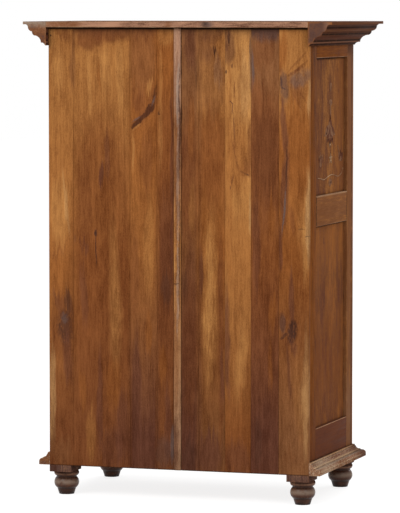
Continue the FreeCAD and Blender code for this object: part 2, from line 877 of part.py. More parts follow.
def door_leaf(index, level):
    """The leaf let into the left door, with the middle knuckle bored for the pin."""
    name = f"door_leaf_{index}"
    lower, middle, upper = hinge_spans(level)
    inner = (middle[0] + d.hinge_knuckle_gap, middle[1] - d.hinge_knuckle_gap)
    plate = slab(f"{name}_plate", door_leaf_x, leaf_y, (lower[0], upper[1]))
    notches = [
        slab(f"{name}_lower_notch", door_leaf_x, notch_y, (lower[0], inner[0])),
        slab(f"{name}_upper_notch", door_leaf_x, notch_y, (inner[1], upper[1])),
    ]
    bored = fuse(
        f"{name}_whole",
        [
            cut(f"{name}_notched", plate, notches),
            knuckle(f"{name}_knuckle", inner, d.hinge_knuckle_radius),
        ],
    )
    bore = knuckle(f"{name}_bore", middle, d.hinge_pin_radius + d.hinge_pin_clearance)
    return cut(name, bored, [bore])


left_post_leaves = [post_leaf(index, level) for index, level in enumerate(hinge_levels)]
right_post_leaves = [
    mirrored(f"right_post_leaf_{index}", leaf) for index, leaf in enumerate(left_post_leaves)
]
piece(group("post_hinge_leaves", left_post_leaves + right_post_leaves), "post_hinge_leaves")
left_door_leaves = group(
    "left_door_hinge_leaves", [door_leaf(index, level) for index, level in enumerate(hinge_levels)]
)
piece(left_door_leaves, "left_door_hinge_leaves")
piece(mirrored("right_door_hinge_leaves", left_door_leaves), "right_door_hinge_leaves")


# Left door frame, glass and beads. The right door mirrors them.

door_y = (front_y, door_back_y)
door_lights = {
    "lower": (bottom_rail_z, middle_rail_z),
    "upper": (upper_light_z, door_upper_light_top_z),
}
door_rails = {
    "bottom": (door_z, bottom_rail_z),
    "middle": (middle_rail_z, upper_light_z),
    "top": (door_upper_light_top_z, door_top_z),
}
door_tenon_y = (
    front_y + d.door_tenon_inset,
    front_y + d.door_tenon_inset + d.door_tenon_thickness,
)
rebate_x = (-stile_inner_x - d.rebate_width, -meeting_inner_x + d.rebate_width)
glass_y = (door_back_y - d.rebate_depth, door_back_y - d.rebate_depth + d.glass_thickness)


def rebate_span(light):
    """The bottom and top of the rebate round a light."""
    low, high = door_lights[light]
    return (low - d.rebate_width, high + d.rebate_width)


rebates = {
    light: slab(f"{light}_rebate", rebate_x, (glass_y[0], door_back_y), rebate_span(light))
    for light in door_lights
}
door_mortise = d.door_tenon_length + d.mortise_play


def door_mortises(name, x):
    """The pockets in a stile for the tenons of the three rails."""
    return [
        slab(f"{name}_{rail}_mortise", x, door_tenon_y, tenon_span(span))
        for rail, span in door_rails.items()
    ]


hinge_stile = cut(
    "left_door_hinge_stile",
    slab("left_hinge_stile_blank", (-door_hinge_x, -stile_inner_x), door_y, (door_z, door_top_z)),
    [rebates["lower"], rebates["upper"]]
    + door_mortises("hinge_stile", (-stile_inner_x - door_mortise, -stile_inner_x))
    + hinge_housings("door_hinge_housing", door_leaf_x),
)
meeting_stile = cut(
    "left_door_meeting_stile",
    slab("left_meeting_stile_blank", (-meeting_inner_x, -door_meeting_x), door_y,
         (door_z, door_top_z)),
    [rebates["lower"], rebates["upper"]]
    + door_mortises("meeting_stile", (-meeting_inner_x, -meeting_inner_x + door_mortise)),
)
piece(hinge_stile, "left_door_hinge_stile")
piece(mirrored("right_door_hinge_stile", hinge_stile), "right_door_hinge_stile")
piece(meeting_stile, "left_door_meeting_stile")

for rail, span in door_rails.items():
    name = f"left_door_{rail}_rail"
    blank = slab(f"{name}_blank", (-stile_inner_x, -meeting_inner_x), door_y, span)
    tenons = slab(
        f"{name}_tenons",
        (-stile_inner_x - d.door_tenon_length, -meeting_inner_x + d.door_tenon_length),
        door_tenon_y,
        tenon_span(span),
    )
    rebated = cut(name, fuse(f"{name}_whole", [blank, tenons]),
                  [rebates[light] for light in rail_grooves[rail]])
    piece(rebated, name)
    piece(mirrored(f"right_door_{rail}_rail", rebated), f"right_door_{rail}_rail")


def pane(light):
    """The glass of one light, a little smaller than its rebate."""
    low, high = rebate_span(light)
    return slab(f"{light}_pane", (rebate_x[0] + d.glass_play, rebate_x[1] - d.glass_play), glass_y,
                (low + d.glass_play, high - d.glass_play))


def beads(light):
    """The four beads that hold the glass of one light."""
    (left, right), (low, high) = rebate_x, rebate_span(light)
    bead_y = (glass_y[1], door_back_y)
    wide = d.rebate_width
    return [
        slab(f"{light}_hinge_side_bead", (left, left + wide), bead_y, (low, high)),
        slab(f"{light}_meeting_side_bead", (right - wide, right), bead_y, (low, high)),
        slab(f"{light}_bottom_bead", (left + wide, right - wide), bead_y, (low, low + wide)),
        slab(f"{light}_top_bead", (left + wide, right - wide), bead_y, (high - wide, high)),
    ]


door_glass = group("left_door_glass", [pane(light) for light in door_lights])
door_beads = group("left_door_beads", beads("lower") + beads("upper"))
for solid, name in ((door_glass, "glass"), (door_beads, "beads")):
    piece(solid, f"left_door_{name}")
    piece(mirrored(f"right_door_{name}", solid), f"right_door_{name}")


# Bolts on the back of the left meeting stile, and the guides that they slide in


def bolt(name, low, knob_z):
    """A round bolt with a knob that points into the case."""
    shaft = rod(f"{name}_shaft", (-bolt_x, bolt_y, low), d.bolt_radius, d.bolt_length)
    knob = rod(f"{name}_knob", (-bolt_x, bolt_y, knob_z), d.bolt_knob_radius, d.bolt_knob_reach,
               X_AXIS, -90.0)
    return fuse(name, [shaft, knob])


def bolt_guide(name, middle_z):
    """A block on the stile, bored for a bolt."""
    half_guide_width = d.bolt_guide_width / 2
    half_guide_height = d.bolt_guide_height / 2
    span = (middle_z - half_guide_height, middle_z + half_guide_height)
    block = slab(f"{name}_block", (-bolt_x - half_guide_width, -bolt_x + half_guide_width),
                 (door_back_y, door_back_y + d.bolt_guide_depth), span)
    bore = rod(f"{name}_bore", (-bolt_x, bolt_y, span[0]), d.bolt_radius + d.bolt_clearance,
               d.bolt_guide_height)
    return cut(name, block, [bore])


top_bolt_z = stop_z - d.bolt_end_gap
bottom_bolt_z = door_z + d.bolt_end_gap
top_guide_z = top_bolt_z - d.bolt_guide_inset
bottom_guide_z = bottom_bolt_z + d.bolt_guide_inset
half_spacing = d.bolt_guide_spacing / 2
piece(bolt("top_bolt", top_bolt_z - d.bolt_length, top_guide_z - half_spacing), "top_bolt")
piece(bolt("bottom_bolt", bottom_bolt_z, bottom_guide_z + half_spacing), "bottom_bolt")
guide_levels = (
    top_guide_z,
    top_guide_z - d.bolt_guide_spacing,
    bottom_guide_z + d.bolt_guide_spacing,
    bottom_guide_z,
)
piece(
    group("bolt_guides", [bolt_guide(f"guide_{index}", z) for index, z in enumerate(guide_levels)]),
    "bolt_guides",
)


# Lock on the back of the right meeting stile, its bolt, the keep on the left door, and the key

lock_x = (
    door_meeting_x + d.lock_edge_gap,
    door_meeting_x + d.lock_edge_gap + d.lock_width,
)
lock_y = (door_back_y, door_back_y + d.lock_depth)
lock_span = (lock_z - d.lock_height / 2, lock_z + d.lock_height / 2)
lock_bolt_y = (
    door_back_y + d.lock_bolt_standoff,
    door_back_y + d.lock_bolt_standoff + d.lock_bolt_thickness,
)
lock_bolt_span = (lock_z + d.lock_bolt_rise, lock_z + d.lock_bolt_rise + d.lock_bolt_height)


def widened(span, gap):
    """A span with a gap added at both ends."""
    return (span[0] - gap, span[1] + gap)


def inset(span, wall):
    """A span with a wall taken off at both ends."""
    return (span[0] + wall, span[1] - wall)


lock_shell = slab("lock_shell", lock_x, lock_y, lock_span)
lock_hollow = slab("lock_hollow", inset(lock_x, d.lock_wall), (lock_y[0], lock_y[1] - d.lock_wall),
                   inset(lock_span, d.lock_wall))
lock_slot = slab("lock_slot", (lock_x[0], lock_x[0] + d.lock_wall),
                 widened(lock_bolt_y, d.lock_bolt_clearance),
                 widened(lock_bolt_span, d.lock_bolt_clearance))
key_bore = rod("lock_key_bore", (key_x, lock_y[1] - d.lock_wall, key_z),
               d.key_shaft_radius + d.key_clearance, d.lock_wall, X_AXIS, -90.0)
piece(cut("lock_case", lock_shell, [lock_hollow, lock_slot, key_bore]), "lock_case")
piece(slab("lock_bolt", (lock_x[0], lock_x[0] + d.lock_bolt_length), lock_bolt_y, lock_bolt_span),
      "lock_bolt")

keep_right_x = -door_meeting_x - d.keep_edge_gap
keep_outer_span = widened(widened(lock_bolt_span, d.keep_clearance), d.keep_wall)
keep_block = slab("keep_block", (keep_right_x - d.keep_width, keep_right_x), lock_y, keep_outer_span)
keep_mouth = slab("keep_mouth", (keep_right_x - d.keep_width + d.keep_wall, keep_right_x),
                  widened(lock_bolt_y, d.keep_clearance), widened(lock_bolt_span, d.keep_clearance))
piece(cut("lock_keep", keep_block, [keep_mouth]), "lock_keep")


def keyhole(name, low_y, high_y):
    """A round hole with a slot below it, through whatever lies between two places."""
    half_slot = d.keyhole_slot_width / 2
    round_hole = rod(f"{name}_round", (key_x, low_y, key_z), d.keyhole_radius, high_y - low_y,
                     X_AXIS, -90.0)
    slot = slab(f"{name}_slot", (key_x - half_slot, key_x + half_slot), (low_y, high_y),
                (key_z - d.keyhole_slot_length, key_z))
    return fuse(name, [round_hole, slot])


right_stile = mirrored("right_meeting_stile_blank", meeting_stile)
piece(cut("right_door_meeting_stile", right_stile, [keyhole("stile_keyhole", *door_y)]),
      "right_door_meeting_stile")

escutcheon_y = front_y - d.escutcheon_thickness
half_plate = d.escutcheon_width / 2
straight = d.escutcheon_height / 2 - half_plate
plate = fuse(
    "escutcheon_plate",
    [slab("escutcheon_middle", (key_x - half_plate, key_x + half_plate), (escutcheon_y, front_y),
          (key_z - straight, key_z + straight))]
    + [
        rod(f"escutcheon_{end}", (key_x, escutcheon_y, level), half_plate, d.escutcheon_thickness,
            X_AXIS, -90.0)
        for end, level in (("foot", key_z - straight), ("head", key_z + straight))
    ],
)
piece(cut("escutcheon", plate, [keyhole("plate_keyhole", escutcheon_y, front_y)]), "escutcheon")

key_front_y = front_y - d.key_reach
half_bit = d.key_bit_thickness / 2
key_shaft = rod("key_shaft", (key_x, key_front_y, key_z), d.key_shaft_radius, lock_y[1] - key_front_y,
                X_AXIS, -90.0)
key_bit = slab("key_bit", (key_x - half_bit, key_x + half_bit), lock_bolt_y,
               (key_z - d.key_bit_length, key_z))
key_bow = doc.addObject("Part::Torus", "key_bow")
key_bow.setExpression("Radius1", d.key_bow_radius.formula)
key_bow.setExpression("Radius2", d.key_bow_wire.formula)
place(key_bow, (key_x, key_front_y - d.key_bow_radius, key_z), Y_AXIS, 90.0)
piece(fuse("key", [key_shaft, key_bit, key_bow]), "key")


# Every object is worked out, tested and written to its own file

doc.recompute()
failed = [item.Label for item in doc.Objects if "Invalid" in item.State or "Error" in item.State]
if failed:
    raise RuntimeError(f"objects that failed: {failed}")
for item in pieces:
    if item.Shape.isNull() or not item.Shape.isValid() or not item.Shape.Solids:
        raise RuntimeError(f"{item.Label} has no valid solid")

os.makedirs("parts", exist_ok=True)
for item in pieces:
    item.Shape.exportStep(os.path.join("parts", f"{item.Label}.step"))
print(f"{len(pieces)} nodes, {sum(len(item.Shape.Solids) for item in pieces)} solids")
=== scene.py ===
"""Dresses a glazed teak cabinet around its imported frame, and looks at it from behind."""

import logging
import math
from collections.abc import Callable, Sequence
from dataclasses import dataclass, field, replace
from enum import Enum
from typing import ClassVar, NamedTuple

import bpy
from mathutils import Euler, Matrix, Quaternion, Vector


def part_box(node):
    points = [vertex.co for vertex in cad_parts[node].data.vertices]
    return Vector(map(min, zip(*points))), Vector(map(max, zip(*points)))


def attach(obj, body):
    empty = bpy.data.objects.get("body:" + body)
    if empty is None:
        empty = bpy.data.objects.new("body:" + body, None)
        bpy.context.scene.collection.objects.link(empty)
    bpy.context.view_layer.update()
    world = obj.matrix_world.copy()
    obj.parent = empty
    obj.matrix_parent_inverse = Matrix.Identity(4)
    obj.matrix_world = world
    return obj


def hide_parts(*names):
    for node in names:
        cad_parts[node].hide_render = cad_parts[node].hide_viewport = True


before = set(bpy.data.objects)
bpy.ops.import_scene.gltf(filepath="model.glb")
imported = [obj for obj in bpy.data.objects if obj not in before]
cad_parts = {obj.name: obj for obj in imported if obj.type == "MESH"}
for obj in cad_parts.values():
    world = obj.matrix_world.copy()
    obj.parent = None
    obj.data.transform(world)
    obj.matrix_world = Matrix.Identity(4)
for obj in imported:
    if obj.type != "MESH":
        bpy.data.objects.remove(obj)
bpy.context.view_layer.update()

LOG = logging.getLogger("cabinet")
MM = 0.001
SIDES = ("left", "right")

Colour = tuple[float, float, float]
Size = tuple[float, float, float]
Pixel = tuple[float, float]
Socket = bpy.types.NodeSocket
Piece = bpy.types.Object


class Tone(Enum):
    """The colours of the old teak and of its fittings, in linear light."""

    HONEY = (0.43, 0.187, 0.056)
    GOLD = (0.335, 0.132, 0.037)
    TOFFEE = (0.29, 0.102, 0.027)
    AMBER = (0.245, 0.078, 0.019)
    CHESTNUT = (0.205, 0.064, 0.018)
    RUSSET = (0.172, 0.054, 0.018)
    UMBER = (0.118, 0.040, 0.022)
    BURNT = (0.088, 0.035, 0.021)
    SMOKE = (0.068, 0.027, 0.017)
    COCOA = (0.178, 0.064, 0.022)
    SADDLE = (0.212, 0.082, 0.031)
    TAN = (0.42, 0.215, 0.085)
    ASH = (0.27, 0.135, 0.072)
    SLATE = (0.125, 0.078, 0.066)
    SOOT = (0.018, 0.009, 0.006)
    PALE = (0.52, 0.34, 0.19)
    CHALK = (0.29, 0.215, 0.16)
    PEWTER = (0.25, 0.165, 0.125)
    PLUM = (0.098, 0.049, 0.037)
    BARK = (0.078, 0.026, 0.012)
    SIENNA = (0.172, 0.052, 0.011)
    ROSE = (0.42, 0.216, 0.13)
    DUST = (0.30, 0.152, 0.092)
    CREAM = (0.56, 0.42, 0.29)
    BRASS = (0.62, 0.43, 0.17)
    TARNISH = (0.16, 0.10, 0.045)
    STEEL = (0.33, 0.31, 0.29)
    RUST = (0.10, 0.045, 0.022)


class Axis(Enum):
    """The axes of the frame."""

    X = 0
    Y = 1
    Z = 2


class Slot(Enum):
    """The record's material slots."""

    CASE = "case_wood"
    BACK = "back_wood"
    MOULDING = "moulding_wood"
    FOOT = "foot_wood"
    INNER = "inner_wood"
    GLASS = "door_glass"
    BRASS = "brass"
    STEEL = "lock_steel"


# Material nodes


class NodeSketch:
    """A material or a world whose nodes are drawn with short calls."""

    RAYS: ClassVar[int] = 4

    def __init__(self, owner: bpy.types.Material | bpy.types.World) -> None:
        """Start with no nodes.

        Args:
            owner: The material or world that is drawn.
        """
        owner.use_nodes = True
        self.owner = owner
        self.tree = owner.node_tree
        self.tree.nodes.clear()

    def feed(self, socket: Socket, value: object) -> None:
        """Link a socket to another, or set its own value.

        Args:
            socket: The socket that is fed.
            value: A socket, a number, a vector or a colour.
        """
        if isinstance(value, Socket):
            self.tree.links.new(value, socket)
        elif isinstance(value, Tone):
            socket.default_value = (*value.value, 1.0)
        elif socket.type == "RGBA" and len(value) == 3:
            socket.default_value = (*value, 1.0)
        else:
            socket.default_value = value

    def add(self, kind: str, inputs: dict | None = None, **settings: object) -> bpy.types.Node:
        """Add a node.

        Args:
            kind: The node's type name.
            inputs: What feeds its inputs, by name or number.
            **settings: The node's own properties.

        Returns:
            The new node.
        """
        node = self.tree.nodes.new(kind)
        for key, value in settings.items():
            setattr(node, key, value)
        for key, value in (inputs or {}).items():
            self.feed(node.inputs[key], value)
        return node

    def place(self) -> Socket:
        """Where a point lies on the object, in metres."""
        return self.add("ShaderNodeTexCoord").outputs["Object"]

    def noise(self, place: Socket, cell: Sequence[float], detail: float = 2.0) -> Socket:
        """A cloudy value from 0 to 1.

        Args:
            place: The point that is looked up.
            cell: The size of one cloud along each axis, in metres.
            detail: How many finer layers it has.

        Returns:
            The value's socket.
        """
        scaled = self.add(
            "ShaderNodeMapping", {"Vector": place, "Scale": tuple(1.0 / size for size in cell)}
        )
        return self.add(
            "ShaderNodeTexNoise",
            {"Vector": scaled.outputs[0], "Scale": 1.0, "Detail": detail},
        ).outputs[0]

    def calc(self, operation: str, first: object, second: object = 0.0, third: object = 0.0) -> Socket:
        """One step of arithmetic.

        Args:
            operation: Blender's name for it.
            first: The first number or socket.
            second: The second one.
            third: The third one, for a step that takes three.

        Returns:
            The result's socket.
        """
        return self.add(
            "ShaderNodeMath", {0: first, 1: second, 2: third}, operation=operation
        ).outputs[0]

    def ease(self, value: Socket, low: float, high: float, top: float = 1.0) -> Socket:
        """A smooth rise from 0 at low to top at high.

        Args:
            value: What is looked at.
            low: Where the rise starts.
            high: Where it ends.
            top: How far it rises.

        Returns:
            The result's socket.
        """
        return self.add(
            "ShaderNodeMapRange",
            {"Value": value, "From Min": low, "From Max": high, "To Min": 0.0, "To Max": top},
            interpolation_type="SMOOTHSTEP",
        ).outputs[0]

    def blend(self, share: object, first: object, second: object, kind: str = "MIX") -> Socket:
        """A mix of two colours.

        Args:
            share: How much of the second one there is.
            first: The first colour.
            second: The second colour.
            kind: Blender's name for the way they mix.

        Returns:
            The colour's socket.
        """
        node = self.add(
            "ShaderNodeMix", {0: share, 6: first, 7: second}, data_type="RGBA", blend_type=kind
        )
        return node.outputs[2]

    def ramp(self, value: Socket, stops: Sequence[tuple[float, Tone]]) -> Socket:
        """A colour that changes along a row of tones.

        Args:
            value: Where in the row to look, from 0 to 1.
            stops: Each tone with its place.

        Returns:
            The colour's socket.
        """
        node = self.add("ShaderNodeValToRGB", {0: value})
        elements = node.color_ramp.elements
        while len(elements) < len(stops):
            elements.new(0.5)
        for element, (position, tone) in zip(elements, stops):
            element.position = position
            element.color = (*tone.value, 1.0)
        return node.outputs[0]

    def span(self, value: Socket, low: float, high: float, start: float = 0.0, end: float = 1.0) -> Socket:
        """A straight change from one number to another.

        Args:
            value: What is looked at.
            low: Where the change starts.
            high: Where it ends.
            start: The number at low.
            end: The number at high.

        Returns:
            The result's socket.
        """
        return self.add(
            "ShaderNodeMapRange",
            {"Value": value, "From Min": low, "From Max": high, "To Min": start, "To Max": end},
        ).outputs[0]

    def coordinate(self, place: Socket, axis: Axis) -> Socket:
        """A point's place on one axis."""
        return self.add("ShaderNodeSeparateXYZ", {0: place}).outputs[axis.value]

    def away(self, place: Socket, axis: Axis, level: float) -> Socket:
        """How far a point is from a level on one axis."""
        return self.calc("ABSOLUTE", self.calc("SUBTRACT", self.coordinate(place, axis), level))

    def moved(self, place: Socket, offset: object) -> Socket:
        """A point that is shifted."""
        return self.add("ShaderNodeVectorMath", {0: place, 1: offset}, operation="ADD").outputs[0]

    def blob(
        self, place: Socket, centre: Vector, size: Sequence[float], turn: float = 0.0
    ) -> tuple[Socket, Socket]:
        """A round or drawn-out spot that fades from 1 at its middle to 0 at its edge.

        Args:
            place: The point that is looked up.
            centre: The spot's middle.
            size: Half its size along each axis.
            turn: How far it is turned about Y, in radians.

        Returns:
            The point in the spot's own measure, and the spot's value there.
        """
        local = self.add(
            "ShaderNodeMapping",
            {"Vector": place, "Location": centre, "Rotation": (0.0, turn, 0.0), "Scale": size},
            vector_type="TEXTURE",
        ).outputs[0]
        near = self.add("ShaderNodeTexGradient", {"Vector": local}, gradient_type="SPHERICAL")
        return local, near.outputs[1]

    def bump(self, height: Socket, strength: float, depth: float) -> Socket:
        """A surface normal that follows fine relief.

        Args:
            height: The relief, from 0 to 1.
            strength: How much of it shows.
            depth: How deep it is, in metres.

        Returns:
            The normal's socket.
        """
        node = self.add("ShaderNodeBump", {"Height": height, "Strength": strength, "Distance": depth})
        return node.outputs[0]

    def arrises(self, reach: float) -> Socket:
        """A value that is high along outward edges.

        Args:
            reach: How far from the edge it fades, in metres.

        Returns:
            The value's socket.
        """
        settings = {"inside": True, "only_local": True, "samples": self.RAYS}
        inside = self.add("ShaderNodeAmbientOcclusion", {"Distance": reach}, **settings)
        return self.calc("SUBTRACT", 1.0, inside.outputs["AO"])

    def corners(self, reach: float) -> Socket:
        """A value that is high in inward corners.

        Args:
            reach: How far from the corner it fades, in metres.

        Returns:
            The value's socket.
        """
        outside = self.add("ShaderNodeAmbientOcclusion", {"Distance": reach}, samples=self.RAYS)
        return self.calc("SUBTRACT", 1.0, outside.outputs["AO"])

    def finish(self, shader: bpy.types.Node) -> bpy.types.Material | bpy.types.World:
        """Lead a shader to the output.

        Args:
            shader: The last node.

        Returns:
            The material or world.
        """
        is_world = isinstance(self.owner, bpy.types.World)
        output = self.add("ShaderNodeOutputWorld" if is_world else "ShaderNodeOutputMaterial")
        self.tree.links.new(shader.outputs[0], output.inputs["Surface"])
        return self.owner

    def surface(self, inputs: dict[str, object]) -> bpy.types.Material:
        """Lead a surface shader with the given inputs to the output."""
        return self.finish(self.add("ShaderNodeBsdfPrincipled", inputs))


# The camera


@dataclass(frozen=True)
class PhotoView:
    """The camera that took the photograph, in pixels of its frame."""

    width: float = 400.0
    height: float = 513.0
    focal: float = 3500.0
    azimuth: float = 198.137
    pitch: float = 4.140
    eye: tuple[float, float, float] = (-3.9182, 12.0206, 1.765)
    sensor: float = 36.0
    far: float = 100.0
    top_edge_row: float = 26.0

    def turn(self) -> Euler:
        """How the camera is turned."""
        return Euler((math.radians(90.0 - self.pitch), 0.0, math.radians(self.azimuth)))

    def meet(self, pixel: Pixel, axis: Axis, level: float) -> Vector:
        """The point where a pixel's ray meets an upright plane.

        Args:
            pixel: Its place in the photograph.
            axis: The axis that the plane is square to.
            level: Where the plane stands on that axis.

        Returns:
            The point, in metres.
        """
        right = (pixel[0] - self.width / 2) / self.focal
        up = (self.height / 2 - pixel[1]) / self.focal
        ray = self.turn().to_matrix() @ Vector((right, up, -1.0))
        eye = Vector(self.eye)
        return eye + ray * ((level - eye[axis.value]) / ray[axis.value])

    def on_back(self, pixel: Pixel) -> Vector:
        """The point of the boarded back that a pixel shows."""
        return self.meet(pixel, Axis.Y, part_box("back_boards_left")[1].y)

    def on_top_edge(self, column: float) -> float:
        """How far along the top board's back edge a column of the photograph is."""
        return self.meet((column, self.top_edge_row), Axis.Y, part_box("top_board")[1].y).x

    def on_side(self, pixel: Pixel) -> Vector:
        """The point of the upper side panel that a pixel shows."""
        return self.meet(pixel, Axis.X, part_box("side_upper_panel_left")[0].x)

    def build(self) -> Piece:
        """Add the camera and make it the scene's.

        Returns:
            The camera.
        """
        bpy.ops.object.camera_add(location=self.eye, rotation=self.turn())
        camera = bpy.context.object
        camera.name = "photo_camera"
        camera.data.sensor_width = self.sensor
        camera.data.lens = self.focal * self.sensor / max(self.width, self.height)
        camera.data.clip_end = self.far
        bpy.context.scene.camera = camera
        return camera


VIEW = PhotoView()


# Finishes


class Grain(NamedTuple):
    """The layers of a wood's figure, from the broadest to the finest."""

    drift: Socket
    mottle: Socket
    streak: Socket
    fibre: Socket
    pore: Socket


class Cell(NamedTuple):
    """The size of one light or dark place in a layer of the figure, in metres."""

    across: float
    along: float

    def sizes(self, grain: Axis) -> tuple[float, ...]:
        """The size along each axis."""
        return tuple(self.along if axis is grain else self.across for axis in Axis)


# The layers that all woods share, and how much each of the five layers counts
DRIFT = Cell(0.09, 0.7)
MOTTLE = Cell(0.035, 0.09)
FIBRE = Cell(0.0042, 0.05)
PORE = Cell(0.0016, 0.006)
LAYER_WEIGHTS = (0.5, 0.42, 0.33, 0.4, 0.6)

# Where a wood's three tones sit in its figure, and how deep the grain can be felt
FIGURE_STOPS = (0.12, 0.5, 0.9)
GRAIN_DEPTH = 1.2 * MM

# Most of a cloudy value lies between these two numbers
USUAL = (0.3, 0.7)

# How dirt and painted shade darken inward corners, and how edges are rubbed, in patches
PATCH = (0.03, 0.03, 0.03)
DIRT_AND_SHADE_PATCHES = (0.2, 0.55)
DIRT_AND_SHADE_RISE = (0.05, 0.55)
RUBBED_PATCHES = (0.38, 0.62)
RUB_RISE = (0.06, 0.5)
ARRIS_STREAK = Cell(0.01, 0.05)
ARRIS_CONTRAST = 1.8
ARRIS_GRIME_AND_SHADE = 0.3

# How a stripe breaks up, and how large the chips are
STRIPE_BREAK = (0.02, 0.02, 0.02)
BREAK_RISE = (0.2, 0.5)
FLAKE = (0.004, 0.004, 0.003)
FLAKE_RISE = (0.53, 0.63)


@dataclass(frozen=True)
class WoodFinish:
    """Teak under an old, thin polish, with its grain, worn edges, and dirt with painted shade in its inward
    corners.
    """

    name: str
    deep: Tone
    ground: Tone
    bright: Tone
    streak: Cell = Cell(0.011, 0.3)
    contrast: float = 1.0
    smooth: float = 0.4
    rough: float = 0.6
    specular: float = 0.002
    worn: Tone = Tone.PALE
    wear: float = 0.5
    wear_reach: float = 0.006
    # How much dirt and painted shade darken inward corners, and how far from the corner they reach
    grime: float = 0.6
    grime_reach: float = 0.03
    relief: float = 0.25

    def grain_layers(self, sketch: NodeSketch, place: Socket, grain: Axis) -> Grain:
        """The layers of the figure.

        Args:
            sketch: The material that is drawn.
            place: The point that is looked up.
            grain: The direction of the grain.

        Returns:
            The layers' sockets.
        """
        return Grain(
            drift=sketch.noise(place, DRIFT.sizes(grain)),
            mottle=sketch.noise(place, MOTTLE.sizes(grain)),
            streak=sketch.noise(place, self.streak.sizes(grain)),
            fibre=sketch.noise(place, FIBRE.sizes(grain), detail=1.0),
            pore=sketch.noise(place, PORE.sizes(grain)),
        )

    def figure(self, sketch: NodeSketch, layers: Grain) -> Socket:
        """One value for light and dark wood, with 0.5 in the middle.

        Args:
            sketch: The material that is drawn.
            layers: The layers of the figure.

        Returns:
            The value's socket.
        """
        value: object = 0.5 - 0.5 * self.contrast * sum(LAYER_WEIGHTS)
        for layer, weight in zip(layers, LAYER_WEIGHTS):
            value = sketch.calc("MULTIPLY_ADD", layer, weight * self.contrast, value)
        return value

    def coat(self, sketch: NodeSketch, colour: Socket, layers: Grain, place: Socket) -> bpy.types.Material:
        """Add dirt and painted shade in inward corners, wear, gloss and relief to a wood colour.

        Args:
            sketch: The material that is drawn.
            colour: The bare wood's colour.
            layers: The layers of the figure.
            place: The point that is looked up.

        Returns:
            The finished material.
        """
        patches = sketch.noise(place, PATCH, detail=4.0)
        # Dirt and painted shade: inward corners are darkened towards soot, in patches
        corners = sketch.corners(self.grime_reach)
        dirt_and_shade = sketch.calc("MULTIPLY", corners, sketch.ease(patches, *DIRT_AND_SHADE_PATCHES))
        colour = sketch.blend(sketch.ease(dirt_and_shade, *DIRT_AND_SHADE_RISE, self.grime), colour, Tone.SOOT)
        edges = sketch.arrises(self.wear_reach)
        rubbed = sketch.calc("MULTIPLY", edges, sketch.ease(patches, *RUBBED_PATCHES))
        colour = sketch.blend(sketch.ease(rubbed, *RUB_RISE, self.wear), colour, self.worn)
        height = sketch.calc("MULTIPLY_ADD", layers.pore, 0.5, sketch.calc("MULTIPLY", layers.fibre, 0.5))
        return sketch.surface(
            {
                "Base Color": colour,
                "Roughness": sketch.span(layers.streak, *USUAL, self.smooth, self.rough),
                "Specular IOR Level": self.specular,
                "Normal": sketch.bump(height, self.relief, GRAIN_DEPTH),
            }
        )

    def material(self, grain: Axis) -> bpy.types.Material:
        """The finish for one direction of the grain, made once.

        Args:
            grain: The direction of the grain.

        Returns:
            The material.
        """
        name = f"{self.name}_{grain.name.lower()}"
        if name in bpy.data.materials:
            return bpy.data.materials[name]
        sketch = NodeSketch(bpy.data.materials.new(name))
        place = sketch.place()
        layers = self.grain_layers(sketch, place, grain)
        tones = tuple(zip(FIGURE_STOPS, (self.deep, self.ground, self.bright)))
        colour = sketch.ramp(self.figure(sketch, layers), tones)
        return self.coat(sketch, colour, layers, place)

    def arris(self) -> "WoodFinish":
        """This wood's rubbed edges, where the polish is gone in places.

        Returns:
            The finish.
        """
        return replace(
            self,
            name=f"{self.name}_arris",
            deep=self.ground,
            ground=self.bright,
            bright=self.worn,
            streak=ARRIS_STREAK,
            contrast=ARRIS_CONTRAST,
            wear=0.0,
            grime=ARRIS_GRIME_AND_SHADE * self.grime,
        )


class Band(NamedTuple):
    """A pale or dark stripe that crosses one axis at one place."""

    place: float
    reach: float
    tone: Tone
    strength: float
    axis: Axis = Axis.Z


@dataclass(frozen=True)
class BandedFinish(WoodFinish):
    """Wood with stripes along it: a moulding's rubbed edges and quirks with painted shade, a panel's painted
    shade under a rail, a turned foot's painted highlights and shaded creases, or a stained end.
    """

    bands: tuple[Band, ...] = ()
    foot: float = 0.0
    chips: float = 0.0

    def striped(
        self, sketch: NodeSketch, colour: Socket, place: Socket, broken: Socket, *axes: Axis
    ) -> Socket:
        """Draw the stripes that cross some of the axes.

        Args:
            sketch: The material that is drawn.
            colour: The colour under them.
            place: The point that is looked up.
            broken: How much of a stripe is left at each place.
            *axes: The axes.

        Returns:
            The colour's socket.
        """
        for band in self.bands:
            if band.axis in axes:
                level = band.place + (self.foot if band.axis is Axis.Z else 0.0)
                near = sketch.ease(sketch.away(place, band.axis, level), band.reach, 0.0, band.strength)
                colour = sketch.blend(sketch.calc("MULTIPLY", near, broken), colour, band.tone)
        return colour

    def coat(self, sketch: NodeSketch, colour: Socket, layers: Grain, place: Socket) -> bpy.types.Material:
        """Draw the stripes and the chips, then add dirt and painted shade in corners, wear, gloss and
        relief.

        Args:
            sketch: The material that is drawn.
            colour: The bare wood's colour.
            layers: The layers of the figure.
            place: The point that is looked up.

        Returns:
            The finished material.
        """
        broken = sketch.ease(sketch.noise(place, STRIPE_BREAK, detail=3.0), *BREAK_RISE)
        colour = self.striped(sketch, colour, place, broken, Axis.Z)
        if self.chips:
            flakes = sketch.ease(sketch.noise(place, FLAKE), *FLAKE_RISE, self.chips)
            colour = sketch.blend(flakes, colour, Tone.CREAM)
        colour = self.striped(sketch, colour, place, broken, Axis.X, Axis.Y)
        return super().coat(sketch, colour, layers, place)


